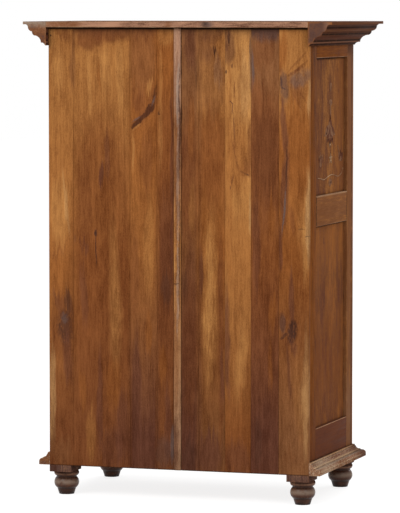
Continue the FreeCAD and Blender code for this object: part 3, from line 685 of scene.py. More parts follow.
@dataclass(frozen=True)
class MetalFinish:
    """A cast or rolled metal, bright where hands rub it and dull elsewhere."""

    name: str
    bright: Tone
    dull: Tone
    smooth: float
    rough: float
    spot: Size = (0.012, 0.012, 0.012)
    rubbed_edge: float = 3.0 * MM
    rub_rise: tuple[float, float] = (0.15, 0.9)
    scratch: Size = (0.0008, 0.0008, 0.01)
    scratch_strength: float = 0.1
    scratch_depth: float = 0.4 * MM

    def material(self) -> bpy.types.Material:
        """The metal, made once.

        Returns:
            The material.
        """
        if self.name in bpy.data.materials:
            return bpy.data.materials[self.name]
        sketch = NodeSketch(bpy.data.materials.new(self.name))
        place = sketch.place()
        spots = sketch.noise(place, self.spot, detail=5.0)
        rubbed = sketch.calc("ADD", sketch.arrises(self.rubbed_edge), sketch.ease(spots, *USUAL))
        scratches = sketch.noise(place, self.scratch)
        return sketch.surface(
            {
                "Base Color": sketch.blend(sketch.ease(rubbed, *self.rub_rise), self.dull, self.bright),
                "Metallic": 1.0,
                "Roughness": sketch.span(spots, *USUAL, self.rough, self.smooth),
                "Normal": sketch.bump(scratches, self.scratch_strength, self.scratch_depth),
            }
        )


@dataclass(frozen=True)
class GlassFinish:
    """Old window glass, a little wavy and a little dusty."""

    name: str = "window_glass"
    tint: Colour = (0.09, 0.105, 0.1)
    ior: float = 1.5
    wave: Size = (0.12, 0.12, 0.2)
    wave_strength: float = 0.08
    wave_depth: float = 2.0 * MM
    dust: Size = (0.02, 0.02, 0.03)
    haze: tuple[float, float, float] = (0.45, 0.8, 0.08)
    veil: tuple[float, float, float] = (0.4, 0.8, 0.06)
    clear: float = 0.07

    def material(self) -> bpy.types.Material:
        """The glass, made once.

        Returns:
            The material.
        """
        if self.name in bpy.data.materials:
            return bpy.data.materials[self.name]
        sketch = NodeSketch(bpy.data.materials.new(self.name))
        place = sketch.place()
        wave = sketch.noise(place, self.wave, detail=1.0)
        dust = sketch.noise(place, self.dust, detail=4.0)
        return sketch.surface(
            {
                "Base Color": self.tint,
                "Roughness": sketch.ease(dust, *self.haze),
                "IOR": self.ior,
                "Alpha": sketch.calc("ADD", sketch.ease(dust, *self.veil), self.clear),
                "Normal": sketch.bump(wave, self.wave_strength, self.wave_depth),
            }
        )


# The finishes of the case, the doors and the fittings

FRONT_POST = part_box("front_post_left")
BACK_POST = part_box("back_post_left")
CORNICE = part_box("cornice_left")
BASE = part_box("base_moulding_left")
MIDDLE_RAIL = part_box("side_middle_rail_left")

FRAME_WOOD = WoodFinish(
    "frame_wood", Tone.UMBER, Tone.SIENNA, Tone.AMBER,
    contrast=2.2, wear=0.35, worn=Tone.AMBER, grime=0.75, grime_reach=0.01,
)
DOOR_WOOD = replace(
    FRAME_WOOD, name="door_wood", ground=Tone.CHESTNUT, bright=Tone.TOFFEE, contrast=1.8, worn=Tone.GOLD
)
POST_WOOD = BandedFinish(
    "post_wood", Tone.BARK, Tone.SIENNA, Tone.AMBER,
    contrast=1.8, wear=0.35, worn=Tone.AMBER, grime=0.75, grime_reach=0.01,
    bands=(Band(0.18, 0.25, Tone.UMBER, 0.5),),
)
FRONT_WOOD = BandedFinish(
    "front_wood", Tone.COCOA, Tone.SADDLE, Tone.GOLD,
    contrast=2.1, wear=0.5, worn=Tone.TAN, grime=0.25, grime_reach=0.008,
    bands=(
        Band(0.28, 0.2, Tone.ASH, 0.5),
        # Painted shadow of the cornice across the post's top, and painted shade along the post's front edge
        Band(1.605, 0.05, Tone.BARK, 0.85),
        Band(FRONT_POST[0].y + 0.02, 0.018, Tone.BARK, 0.8, Axis.Y),
    ),
)
MIDDLE_WOOD = BandedFinish(
    "middle_wood", Tone.COCOA, Tone.SADDLE, Tone.GOLD,
    contrast=1.9, wear=0.35, worn=Tone.TAN, grime=0.5, grime_reach=0.008,
    bands=(
        Band(MIDDLE_RAIL[1].z, 0.006, Tone.PALE, 0.7),
        Band(BACK_POST[0].y, 0.014, Tone.SOOT, 0.85, Axis.Y),
        Band(FRONT_POST[1].y, 0.014, Tone.SOOT, 0.8, Axis.Y),
    ),
)
LOW_WOOD = replace(
    FRAME_WOOD, name="low_wood", deep=Tone.SMOKE, ground=Tone.UMBER, bright=Tone.RUSSET, contrast=0.8
)
JOINT_WOOD = WoodFinish("joint_wood", Tone.SOOT, Tone.SMOKE, Tone.UMBER, wear=0.0)
RUBBED_WOOD = WoodFinish("rubbed_wood", Tone.COCOA, Tone.DUST, Tone.PALE, contrast=1.6, wear=0.0, grime=0.2)
PANEL_WOOD = BandedFinish(
    "panel_wood", Tone.UMBER, Tone.COCOA, Tone.GOLD,
    streak=Cell(0.02, 0.12), contrast=2.6, grime=0.7, grime_reach=0.01,
    bands=(
        Band(FRONT_POST[1].y + 0.07, 0.13, Tone.TOFFEE, 0.45, Axis.Y),
        Band(BACK_POST[0].y, 0.2, Tone.UMBER, 0.6, Axis.Y),
        # Painted shade on the panel just under the top rail
        Band(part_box("side_top_rail_left")[0].z - 3.0 * MM, 0.009, Tone.SOOT, 0.95),
    ),
)
LOWER_PANEL_WOOD = BandedFinish(
    "lower_panel_wood", Tone.UMBER, Tone.COCOA, Tone.TOFFEE,
    streak=Cell(0.02, 0.12), contrast=2.6, grime=0.5, grime_reach=0.008,
    foot=MIDDLE_RAIL[0].z,
    bands=(
        Band(-0.06, 0.18, Tone.TOFFEE, 0.5),
        Band(-0.5, 0.34, Tone.RUSSET, 0.55),
        # Painted shade on the panel just under the middle rail
        Band(-0.002, 0.005, Tone.SOOT, 0.95),
    ),
)
CARVED_WOOD = WoodFinish(
    "carved_wood", Tone.SMOKE, Tone.UMBER, Tone.COCOA, worn=Tone.ASH, wear=0.7, wear_reach=0.004, grime=0.7
)
LINE_WOOD = WoodFinish("line_wood", Tone.COCOA, Tone.ASH, Tone.PALE, contrast=1.6, wear=0.2, grime=0.2)
CORNICE_WOOD = BandedFinish(
    "cornice_wood", Tone.SMOKE, Tone.BURNT, Tone.RUSSET,
    wear=0.3, worn=Tone.COCOA, grime=0.9, grime_reach=0.014,
    foot=CORNICE[0].z,
    # The soot bands are painted shade in the quirks of the profile
    bands=(
        Band(0.005, 0.006, Tone.SOOT, 0.85),
        Band(0.012, 0.003, Tone.DUST, 0.5),
        Band(0.018, 0.005, Tone.SOOT, 1.0),
        Band(0.029, 0.008, Tone.UMBER, 0.75),
        Band(0.041, 0.006, Tone.SOOT, 1.0),
        Band(0.053, 0.007, Tone.COCOA, 0.6),
        Band(0.064, 0.005, Tone.SOOT, 1.0),
        Band(0.078, 0.010, Tone.COCOA, 0.5),
    ),
)
DARK_END_WOOD = BandedFinish(
    "dark_end_wood", Tone.SMOKE, Tone.PLUM, Tone.COCOA,
    wear=0.9, wear_reach=0.01, worn=Tone.TOFFEE,
    bands=(Band(CORNICE[0].x + 0.01, 0.03, Tone.DUST, 0.6, Axis.X),),
)
PALE_END_WOOD = BandedFinish(
    "pale_end_wood", Tone.PLUM, Tone.COCOA, Tone.DUST,
    contrast=1.8, wear=0.3,
    foot=CORNICE[1].z,
    bands=(Band(0.0, 0.03, Tone.CHALK, 0.9),),
)
BASE_END_WOOD = BandedFinish(
    "base_end_wood", Tone.PLUM, Tone.ASH, Tone.ROSE, contrast=1.8, wear=0.6, worn=Tone.DUST, chips=0.5
)
FAR_END_WOOD = replace(
    BASE_END_WOOD, name="far_end_wood", ground=Tone.COCOA, bright=Tone.ASH, worn=Tone.SADDLE, chips=0.2
)
BASE_BANDS = (
    Band(0.003, 0.010, Tone.SADDLE, 0.9),
    Band(0.0130, 0.0020, Tone.PALE, 0.8),
    Band(0.0235, 0.0016, Tone.CHALK, 0.9),
    Band(0.0260, 0.0014, Tone.SMOKE, 0.9),
    Band(0.0285, 0.0018, Tone.PALE, 0.9),
    Band(0.0340, 0.0050, Tone.UMBER, 0.7),
    Band(0.0400, 0.0018, Tone.SMOKE, 0.8),
    Band(0.0450, 0.0025, Tone.TAN, 0.7),
)
BASE_WOOD = BandedFinish(
    "base_wood", Tone.SMOKE, Tone.RUSSET, Tone.DUST,
    streak=Cell(0.005, 0.02), contrast=1.9, wear=0.6, wear_reach=0.004, grime=0.95, grime_reach=0.012,
    chips=0.75,
    foot=BASE[0].z,
    bands=(
        *BASE_BANDS,
        Band(0.2, 0.16, Tone.CREAM, 0.4, Axis.Y),
        Band(BASE[0].y, 0.2, Tone.BURNT, 0.95, Axis.Y),
    ),
)
FRONT_BAND_SHARE = 0.4
BASE_FRONT_WOOD = replace(
    BASE_WOOD,
    name="base_front_wood",
    ground=Tone.BURNT,
    bright=Tone.COCOA,
    chips=0.25,
    bands=tuple(band._replace(strength=FRONT_BAND_SHARE * band.strength) for band in BASE_BANDS),
)
TOP_WOOD = WoodFinish("top_wood", Tone.BURNT, Tone.COCOA, Tone.ASH, contrast=1.5, wear=0.3, grime=0.5)
TOP_EDGE_WOOD = BandedFinish(
    "top_edge_wood", Tone.BURNT, Tone.DUST, Tone.ROSE,
    streak=Cell(0.02, 0.07), contrast=2.2, wear=0.3, grime=0.6,
    bands=tuple(
        Band(VIEW.on_top_edge(column), reach, tone, strength, Axis.X)
        for column, reach, tone, strength in (
            (58.0, 0.09, Tone.COCOA, 0.8),
            (74.0, 0.05, Tone.COCOA, 0.7),
            (112.0, 0.09, Tone.ROSE, 0.8),
            (168.0, 0.02, Tone.COCOA, 0.6),
            (207.0, 0.035, Tone.SLATE, 0.9),
            (205.0, 0.018, Tone.SOOT, 0.6),
        )
    ),
)
FOOT_WOOD = BandedFinish(
    "foot_wood", Tone.SMOKE, Tone.BURNT, Tone.COCOA,
    contrast=1.2, smooth=0.26, rough=0.4, specular=0.13,
    wear=0.35, worn=Tone.DUST, grime=0.95, grime_reach=0.04, relief=0.04,
    # The chalk band is a painted highlight on the bun's shoulder and the ash band a painted highlight on the
    # ring; the soot bands are painted shade in the creases
    bands=(
        Band(0.002, 0.006, Tone.SOOT, 0.7),
        Band(0.022, 0.006, Tone.SOOT, 0.6),
        Band(0.046, 0.015, Tone.CHALK, 0.6),
        Band(0.065, 0.006, Tone.SOOT, 0.5),
        Band(0.076, 0.007, Tone.ASH, 0.8),
    ),
)
BLOCK_WOOD = replace(
    LOW_WOOD, name="block_wood", ground=Tone.PLUM, bright=Tone.ASH, worn=Tone.COCOA, contrast=1.4, grime=0.4
)
INNER_WOOD = WoodFinish(
    "inner_wood", Tone.AMBER, Tone.GOLD, Tone.HONEY, contrast=1.5, wear=0.3, grime=0.4, rough=0.7
)
BRASS = MetalFinish("old_brass", Tone.BRASS, Tone.TARNISH, 0.24, 0.5)
STEEL = MetalFinish("old_steel", Tone.STEEL, Tone.RUST, 0.3, 0.6)
GLASS = GlassFinish()


# The back boards' own colours

# A mark goes through the whole thickness of a board
THROUGH = 1000.0

# How marks and grain waver: fine fibres along the grain, slow waves across it
FIBRES = (0.007, 1.0, 0.3)
WAVES = (0.05, 1.0, 0.12)

# Bends in the grain are longer than wide, and fade towards their edge
BEND_STRETCH = 1.6
BEND_RISE = (0.0, 0.8)

# How far apart the boards' grain is looked up, so that no two are alike
GRAIN_STEP = (1.7, 0.0, 2.3)

# Where a board's three tones sit, from its foot to its head
BOARD_STOPS = (0.08, 0.5, 0.9)


@dataclass(frozen=True)
class Mark:
    """A streak, stain, knot or crack in a board, or a painted shadow or patch of light, between two pixels
    of the photograph.
    """

    tone: Tone
    start: Pixel
    end: Pixel
    width: float
    strength: float = 0.6
    fade: float = 0.55

    fray: ClassVar[float] = 0.07
    sway: ClassVar[float] = 0.012
    edge: ClassVar[Size] = (0.006, 1.0, 0.05)
    edge_detail: ClassVar[float] = 3.0
    bite: ClassVar[float] = 1.8
    spread: ClassVar[float] = 0.65
    stretch: ClassVar[float] = 0.62
    round_end: ClassVar[float] = 0.3

    def size(self, length: float) -> Size:
        """Half the mark's size across, through and along the board."""
        return self.spread * self.width, THROUGH, self.stretch * length + self.round_end * self.width


class Crack(Mark):
    """A mark with a clean edge: a crack, a knot, a hole or a thin painted shadow line."""

    fray = 0.003
    sway = 0.006
    edge = (0.005, 1.0, 0.012)
    bite = 3.4


class Stain(Mark):
    """A broad mark that fades evenly all round."""

    fray = 0.003
    sway = 0.006
    edge = (0.02, 1.0, 0.03)
    edge_detail = 4.0
    bite = 2.4


@dataclass(frozen=True)
class Swirl:
    """A place that the grain bends round."""

    centre: Pixel
    reach: float
    push: float


class Fade(NamedTuple):
    """A joint at which a board's colour runs into the next board's."""

    place: float
    reach: float
    other: "BoardFinish"


@dataclass(frozen=True)
class BoardFinish(WoodFinish):
    """One back board: its tones from the top down, its marks and the bends in its grain."""

    deep: Tone = Tone.UMBER
    ground: Tone = Tone.GOLD
    bright: Tone = Tone.HONEY
    number: int = 0
    tones: tuple[tuple[float, Tone], ...] = ()
    tone_fray: float = 0.07
    marks: tuple[Mark, ...] = ()
    swirls: tuple[Swirl, ...] = ()
    fades: tuple[Fade, ...] = ()
    grain_sway: float = 0.009
    shade: Colour = (0.42, 0.33, 0.30)
    light: Colour = (1.45, 1.58, 1.6)
    wear: float = 0.0
    grime: float = 0.45
    specular: float = 0.004
    # A stain mixed with painted shade under the top board's overhang, and a painted shadow line in the gap
    # under it
    head_stain: float = 0.35
    head_stain_reach: float = 0.05
    head_fray: float = 0.02
    head_shadow: float = 0.006
    head_shadow_strength: float = 0.9
    foot_edge: float = 0.005
    foot_edge_strength: float = 0.85

    def bent(self, sketch: NodeSketch, place: Socket) -> Socket:
        """The point on straight grain that a point of the bent grain comes from.

        Args:
            sketch: The material that is drawn.
            place: The point that is looked up.

        Returns:
            The moved point's socket.
        """
        for swirl in self.swirls:
            size = (swirl.reach, THROUGH, swirl.reach * BEND_STRETCH)
            local, near = sketch.blob(place, VIEW.on_back(swirl.centre), size)
            amount = sketch.calc("MULTIPLY", sketch.ease(near, *BEND_RISE), -swirl.push)
            offset = sketch.add("ShaderNodeVectorMath", {0: local, "Scale": amount}, operation="SCALE")
            place = sketch.moved(place, offset.outputs[0])
        return place

    def frayed(self, sketch: NodeSketch, place: Socket, fray: float, sway: float) -> Socket:
        """A point shifted along and across the grain, so that marks end in fibres.

        Args:
            sketch: The material that is drawn.
            place: The point that is looked up.
            fray: The most that it shifts along the grain.
            sway: The most that it shifts across the grain.

        Returns:
            The shifted point's socket.
        """
        fibres = sketch.noise(place, FIBRES)
        waves = sketch.noise(place, WAVES, detail=3.0)
        along = sketch.calc("MULTIPLY_ADD", fibres, 2.0 * fray, -fray)
        across = sketch.calc("MULTIPLY_ADD", waves, 2.0 * sway, -sway)
        shift = sketch.add("ShaderNodeCombineXYZ", {"X": across, "Z": along})
        return sketch.moved(place, shift.outputs[0])

    def marked(self, sketch: NodeSketch, place: Socket, colour: Socket) -> Socket:
        """Lay the marks over the board's own colour.

        Args:
            sketch: The material that is drawn.
            place: The point that is looked up.
            colour: The board's own colour.

        Returns:
            The colour's socket.
        """
        edges: dict[type[Mark], tuple[Socket, Socket]] = {}
        for mark in self.marks:
            kind = type(mark)
            if kind not in edges:
                shifted = self.frayed(sketch, place, kind.fray, kind.sway)
                edges[kind] = (shifted, sketch.noise(place, kind.edge, kind.edge_detail))
            shifted, edge = edges[kind]
            start, end = VIEW.on_back(mark.start), VIEW.on_back(mark.end)
            run = end - start
            turn = math.atan2(run.x, run.z)
            near = sketch.blob(shifted, (start + end) / 2, mark.size(run.length), turn)[1]
            fringe = sketch.calc("MULTIPLY_ADD", edge, mark.bite, 1.0 - 0.5 * mark.bite)
            ragged = sketch.calc("MULTIPLY", near, fringe)
            colour = sketch.blend(sketch.ease(ragged, 0.0, mark.fade, mark.strength), colour, mark.tone)
        return colour

    def ends(self) -> tuple[float, float]:
        """The heights of the board's foot and head."""
        low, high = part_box("back_boards_left")
        return low.z, high.z

    def plain(self, sketch: NodeSketch, place: Socket) -> Socket:
        """The board's tones and marks, without its grain.

        Args:
            sketch: The material that is drawn.
            place: The point that is looked up.

        Returns:
            The colour's socket.
        """
        height = sketch.coordinate(self.frayed(sketch, place, self.tone_fray, 0.0), Axis.Z)
        tones = sketch.ramp(sketch.span(height, *self.ends()), self.tones)
        return self.marked(sketch, place, tones)

    def faded(self, sketch: NodeSketch, place: Socket) -> Socket:
        """The board's tones and marks, mixed with the next board's near a joint that hardly shows.

        Args:
            sketch: The material that is drawn.
            place: The point that is looked up.

        Returns:
            The colour's socket.
        """
        colour = self.plain(sketch, place)
        for fade in self.fades:
            share = sketch.ease(sketch.away(place, Axis.X, fade.place), fade.reach, 0.0, 0.5)
            colour = sketch.blend(share, colour, fade.other.plain(sketch, place))
        return colour

    def material(self, grain: Axis = Axis.Z) -> bpy.types.Material:
        """The board's finish, darker under the top board with a stain and painted shade, with a painted
        shadow line in the gap there.

        Args:
            grain: The direction of the grain.

        Returns:
            The material.
        """
        sketch = NodeSketch(bpy.data.materials.new(self.name))
        place = sketch.place()
        wavy = self.frayed(sketch, self.bent(sketch, place), 0.0, self.grain_sway)
        own = sketch.moved(wavy, tuple(self.number * step for step in GRAIN_STEP))
        layers = self.grain_layers(sketch, own, grain)
        colour = self.faded(sketch, place)
        darker = sketch.blend(1.0, colour, self.shade, "MULTIPLY")
        lighter = sketch.blend(1.0, colour, self.light, "MULTIPLY")
        colour = sketch.blend(sketch.ease(self.figure(sketch, layers), 0.0, 1.0), darker, lighter)
        low, high = self.ends()
        # A stain mixed with painted shade under the top board
        head = sketch.coordinate(self.frayed(sketch, place, self.head_fray, 0.0), Axis.Z)
        stain = sketch.ease(head, high - self.head_stain_reach, high, self.head_stain)
        colour = sketch.blend(stain, colour, Tone.SMOKE)
        # A painted shadow line in the gap under the top board, and a dark line along the foot
        level = sketch.coordinate(place, Axis.Z)
        gap = sketch.ease(level, high - self.head_shadow, high - 0.5 * self.head_shadow, self.head_shadow_strength)
        edge = sketch.ease(level, low + self.foot_edge, low, self.foot_edge_strength)
        colour = sketch.blend(sketch.calc("MAXIMUM", gap, edge), colour, Tone.SOOT)
        return self.coat(sketch, colour, layers, place)


def board(
    number: int, foot: Tone, middle: Tone, head: Tone, *features: Mark | Swirl, **settings: float
) -> BoardFinish:
    """The finish of one board.

    Args:
        number: Its place, counted from the right end of the back.
        foot: Its tone at the bottom.
        middle: Its tone half way up.
        head: Its tone at the top.
        *features: Its marks and the bends in its grain.
        **settings: What else sets it apart from the other boards.

    Returns:
        The finish.
    """
    return BoardFinish(
        name=f"back_board_{number}",
        number=number,
        tones=tuple(zip(BOARD_STOPS, (foot, middle, head))),
        marks=tuple(item for item in features if isinstance(item, Mark)),
        swirls=tuple(item for item in features if isinstance(item, Swirl)),
        **settings,
    )


# Short names of the tones for the lists of marks
HONEY, GOLD, TOFFEE, AMBER, CHESTNUT = Tone.HONEY, Tone.GOLD, Tone.TOFFEE, Tone.AMBER, Tone.CHESTNUT
RUSSET, UMBER, SMOKE, TAN, ASH, SLATE = Tone.RUSSET, Tone.UMBER, Tone.SMOKE, Tone.TAN, Tone.ASH, Tone.SLATE
SOOT, BARK, PLUM, SADDLE, COCOA = Tone.SOOT, Tone.BARK, Tone.PLUM, Tone.SADDLE, Tone.COCOA
PEWTER, DUST = Tone.PEWTER, Tone.DUST

# The boards from the right end of the back to the left one, with their marks from pixel to pixel
BOARDS = (
    board(
        1, RUSSET, TOFFEE, GOLD,
        Mark(UMBER, (73, 34), (73, 92), 0.024, 0.7),
        Mark(RUSSET, (58, 34), (73, 34), 0.04, 0.6),
        # Painted light that cancels the cornice's shadow at the board's top left corner
        Stain(HONEY, (50.5, 26), (51, 50), 0.04, 0.8),
        Mark(HONEY, (58, 50), (58, 90), 0.05, 0.5),
        Mark(HONEY, (61, 180), (61, 244), 0.08, 0.5),
        Mark(TAN, (63, 172), (70, 236), 0.014, 0.4),
        Mark(RUSSET, (51, 258), (65, 246), 0.024, 0.5),
        Mark(AMBER, (60, 255), (60, 300), 0.08, 0.5),
        Mark(UMBER, (54, 292), (63, 310), 0.03, 0.5),
        Mark(RUSSET, (62, 300), (62, 350), 0.09, 0.6),
        Mark(SMOKE, (68.5, 296), (69.5, 314), 0.036, 0.7),
        Crack(SMOKE, (65.5, 312), (67, 342), 0.062, 0.75),
        Crack(SLATE, (63.5, 314), (65, 322), 0.026, 0.5),
        Mark(UMBER, (67, 335), (69, 385), 0.044, 0.6),
        Mark(TAN, (53, 345), (53, 448), 0.026, 0.6),
        Mark(SADDLE, (62, 440), (62, 462), 0.09, 0.5),
        Crack(SMOKE, (50.6, 34.6), (50.6, 36.2), 0.006, 0.9),
        head_stain=0.1,
        grime=0.1,
    ),
    board(
        2, RUSSET, CHESTNUT, GOLD,
        Mark(CHESTNUT, (102, 128), (102, 220), 0.2, 0.6),
        Stain(RUSSET, (78, 35), (100, 37), 0.1, 0.8),
        Stain(RUSSET, (96, 33), (129, 33), 0.07, 0.8),
        Mark(HONEY, (88, 48), (90, 112), 0.016, 0.5),
        Mark(HONEY, (119, 44), (121, 112), 0.03, 0.6),
        Mark(HONEY, (104, 52), (106, 90), 0.05, 0.5),
        Mark(AMBER, (98.5, 62), (99, 92), 0.014, 0.6),
        Mark(RUSSET, (85, 150), (86, 260), 0.05, 0.35),
        Mark(UMBER, (106, 128), (108, 178), 0.02, 0.45),
        Mark(UMBER, (101.5, 163), (102, 184), 0.02, 0.8),
        Crack(SMOKE, (96, 230), (96, 236), 0.011, 1.0),
        Crack(SMOKE, (96, 234), (96, 266), 0.004, 0.9),
        Crack(UMBER, (75.2, 234), (75.2, 242), 0.011, 0.7),
        Mark(UMBER, (82, 243), (88, 255), 0.026, 0.5),
        Mark(HONEY, (113, 215), (117, 380), 0.05, 0.5, 0.9),
        Mark(UMBER, (82, 262), (86, 330), 0.03, 0.45),
        Mark(UMBER, (100, 352), (99.5, 460), 0.024, 0.6),
        Mark(AMBER, (113, 360), (113, 406), 0.06, 0.6),
        Mark(GOLD, (91, 408), (91, 458), 0.036, 0.5),
        Mark(AMBER, (81, 370), (84, 412), 0.026, 0.5),
        Mark(UMBER, (122, 395), (122, 466), 0.06, 0.6),
        Mark(UMBER, (112, 432), (112, 466), 0.09, 0.5),
    ),
    board(
        3, UMBER, TOFFEE, AMBER,
        Mark(SADDLE, (141, 26), (141, 92), 0.12, 0.5),
        Mark(RUSSET, (132, 33), (156, 33), 0.03, 0.6),
        Mark(RUSSET, (139, 90), (139, 112), 0.06, 0.7),
        Mark(HONEY, (150.5, 80), (147.5, 97), 0.016, 0.5),
        Crack(RUSSET, (157, 86), (149, 112), 0.034, 0.6),
        Crack(RUSSET, (150, 110), (131, 128), 0.034, 0.6),
        Crack(BARK, (157, 84), (152.6, 106), 0.014, 1.0),
        Crack(BARK, (153.5, 103), (145.5, 115), 0.027, 1.0),
        Crack(BARK, (149, 112), (139, 119.5), 0.018, 1.0),
        Crack(BARK, (143, 117), (130.5, 129), 0.017, 0.95),
        Crack(SLATE, (154.8, 96), (151.4, 106), 0.007, 0.7),
        Crack(SLATE, (140, 116.4), (132.5, 121.6), 0.007, 0.6),
        Crack(GOLD, (140.5, 123.5), (131.5, 131.5), 0.007, 0.7),
        Mark(HONEY, (133, 130), (133.5, 165), 0.01, 0.5),
        Mark(RUSSET, (147, 128), (147, 190), 0.05, 0.5),
        Mark(GOLD, (148.5, 195), (149, 300), 0.042, 0.6),
        Mark(RUSSET, (134, 225), (135, 318), 0.036, 0.6),
        Mark(UMBER, (136, 335), (136, 440), 0.04, 0.7),
        Mark(AMBER, (148, 315), (148.5, 355), 0.028, 0.6),
        Swirl((146, 110), 0.07, 0.03),
    ),
    board(
        4, RUSSET, RUSSET, AMBER,
        Mark(CHESTNUT, (165, 108), (165, 180), 0.08, 0.65),
        Mark(UMBER, (171.5, 78), (171.5, 300), 0.014, 0.6),
        Stain(GOLD, (165, 28), (165, 42), 0.07, 0.7),
        Mark(HONEY, (160, 40), (160, 170), 0.018, 0.3),
        Mark(UMBER, (166, 180), (166, 310), 0.046, 0.35),
        Mark(SMOKE, (167, 274), (167, 302), 0.046, 0.5),
        Mark(AMBER, (163, 348), (163, 382), 0.036, 0.7),
        Mark(UMBER, (168, 385), (168, 466), 0.03, 0.6),
        Stain(PLUM, (164, 440), (164, 466), 0.07, 0.5),
        Stain(SLATE, (172.8, 425), (172.6, 466), 0.016, 0.8),
        Crack(SMOKE, (158.9, 112), (158.9, 114.6), 0.008, 0.9),
        head_stain=0.1,
    ),
    board(
        5, UMBER, COCOA, SADDLE,
        # Painted shadow that the raised centre strip casts along this board's edge
        Crack(SOOT, (181.3, 26), (180.6, 250), 0.006, 0.9),
        Crack(SOOT, (180.8, 240), (180.2, 474), 0.005, 0.8),
        Mark(UMBER, (190, 30), (192, 70), 0.05, 0.55),
        Mark(UMBER, (184, 142), (184, 160), 0.026, 0.6),
        Mark(SMOKE, (196.5, 56), (196.5, 84), 0.016, 0.6),
        Mark(RUSSET, (190, 108), (190, 238), 0.09, 0.75),
        Mark(GOLD, (193, 180), (193, 238), 0.024, 0.4),
        Mark(AMBER, (191, 100), (191, 160), 0.03, 0.4),
        Mark(UMBER, (190, 248), (190, 440), 0.06, 0.5),
        Mark(SMOKE, (184, 270), (186, 300), 0.024, 0.4),
        Mark(RUSSET, (190, 270), (190, 420), 0.06, 0.5),
        Mark(SMOKE, (190, 440), (190, 470), 0.06, 0.5),
    ),
    board(
        6, COCOA, AMBER, GOLD,
        Mark(CHESTNUT, (211, 108), (211, 204), 0.13, 0.85),
        Mark(SADDLE, (211, 56), (211, 108), 0.13, 0.45),
        Mark(UMBER, (205, 34), (223, 34), 0.05, 0.4),
        Stain(UMBER, (204, 32), (206, 60), 0.06, 0.5),
        Mark(SMOKE, (214, 42), (215.8, 49), 0.014, 0.9),
        Mark(ASH, (216, 52), (220, 84), 0.03, 0.4),
        Mark(HONEY, (211, 210), (209, 382), 0.06, 0.95, 0.9),
        Mark(RUSSET, (221, 232), (221.5, 450), 0.022, 0.75),
        Mark(UMBER, (202, 246), (200, 300), 0.014, 0.7),
        Mark(UMBER, (222, 345), (222, 405), 0.018, 0.6),
        Mark(UMBER, (210, 436), (210, 474), 0.1, 0.8),
        Swirl((214.8, 45.5), 0.05, 0.022),
    ),
    board(
        7, CHESTNUT, GOLD, HONEY,
        Mark(TOFFEE, (238, 220), (238, 300), 0.12, 0.5),
        Mark(TOFFEE, (228, 60), (228, 300), 0.034, 0.65),
        Stain(UMBER, (228, 30), (228.5, 62), 0.05, 0.6),
        Mark(PLUM, (250.6, 34), (250.8, 94), 0.01, 0.8),
        Mark(RUSSET, (250.5, 122), (250.5, 172), 0.024, 0.7),
        Crack(SMOKE, (228.8, 31), (228.5, 46), 0.009, 0.8),
        Crack(UMBER, (226.5, 40), (226.5, 52), 0.008, 0.6),
        Crack(SMOKE, (226, 70), (225.6, 74), 0.006, 0.8),
        Crack(UMBER, (232, 64), (231.6, 68), 0.007, 0.8),
        Crack(RUSSET, (234.4, 80), (234.4, 100), 0.005, 0.7),
        Crack(UMBER, (229.6, 101.2), (233, 104), 0.004, 0.9),
        Crack(UMBER, (233.6, 112), (235.6, 160), 0.0045, 0.85),
        Crack(UMBER, (232.6, 103), (232, 114), 0.004, 0.9),
        Crack(SMOKE, (235.6, 158), (239.6, 172), 0.006, 0.9),
        Stain(RUSSET, (240, 168), (249, 174), 0.04, 0.6),
        Crack(SMOKE, (239, 170.5), (249.5, 175.5), 0.007, 1.0),
        Crack(UMBER, (234.5, 173), (230, 190), 0.0045, 0.9),
        Crack(UMBER, (232, 140), (236.6, 160), 0.006, 0.8),
        Mark(TAN, (245, 52), (245, 120), 0.05, 0.35),
        Mark(TOFFEE, (238, 125), (238, 190), 0.08, 0.7),
        Mark(TAN, (250, 190), (250.5, 240), 0.008, 0.6),
        Mark(RUSSET, (246, 160), (248, 170), 0.03, 0.5),
        Mark(HONEY, (244, 318), (238, 400), 0.05, 0.55, 0.9),
        Mark(UMBER, (226.5, 290), (228, 400), 0.024, 0.7),
        Mark(RUSSET, (236, 440), (236, 474), 0.09, 0.6),
        Mark(UMBER, (238, 450), (238, 474), 0.12, 0.45),
        Swirl((238, 168), 0.05, 0.015),
    ),
    board(
        8, UMBER, CHESTNUT, SADDLE,
        Mark(SLATE, (252.8, 43), (252.8, 92), 0.01, 0.8),
        Stain(PLUM, (254, 31.5), (279, 33.5), 0.07, 0.9),
        Mark(RUSSET, (263, 40), (264, 66), 0.08, 0.45),
        Mark(RUSSET, (266, 100), (266, 212), 0.14, 0.95),
        Mark(BARK, (266, 112), (266, 196), 0.1, 0.35),
        Mark(RUSSET, (257, 78), (257, 106), 0.05, 0.6),
        Mark(AMBER, (272, 200), (272, 238), 0.03, 0.6),
        Mark(UMBER, (256, 190), (256, 300), 0.03, 0.5),
        Mark(AMBER, (273, 296), (273, 332), 0.028, 0.7),
        Mark(AMBER, (270, 340), (271, 390), 0.02, 0.55),
        Mark(UMBER, (266, 405), (266, 474), 0.09, 0.6),
        Mark(SMOKE, (258, 420), (258, 470), 0.03, 0.4),
        Swirl((265, 46), 0.055, 0.02),
    ),
    board(
        9, SADDLE, AMBER, GOLD,
        Mark(AMBER, (295, 106), (295, 190), 0.14, 0.85),
        Stain(UMBER, (289, 77), (304, 92), 0.07, 0.4, 1.0),
        Stain(RUSSET, (290, 308), (290, 356), 0.09, 0.6, 1.0),
        Stain(HONEY, (303, 205), (303, 262), 0.05, 0.4, 1.0),
        Crack(SMOKE, (280.4, 62), (280.4, 72), 0.008, 0.9),
        Crack(SMOKE, (280.6, 75), (281.4, 88), 0.009, 1.0),
        Crack(SMOKE, (281, 87), (285.5, 89.5), 0.006, 0.9),
        Mark(AMBER, (283, 34), (283, 72), 0.04, 0.8),
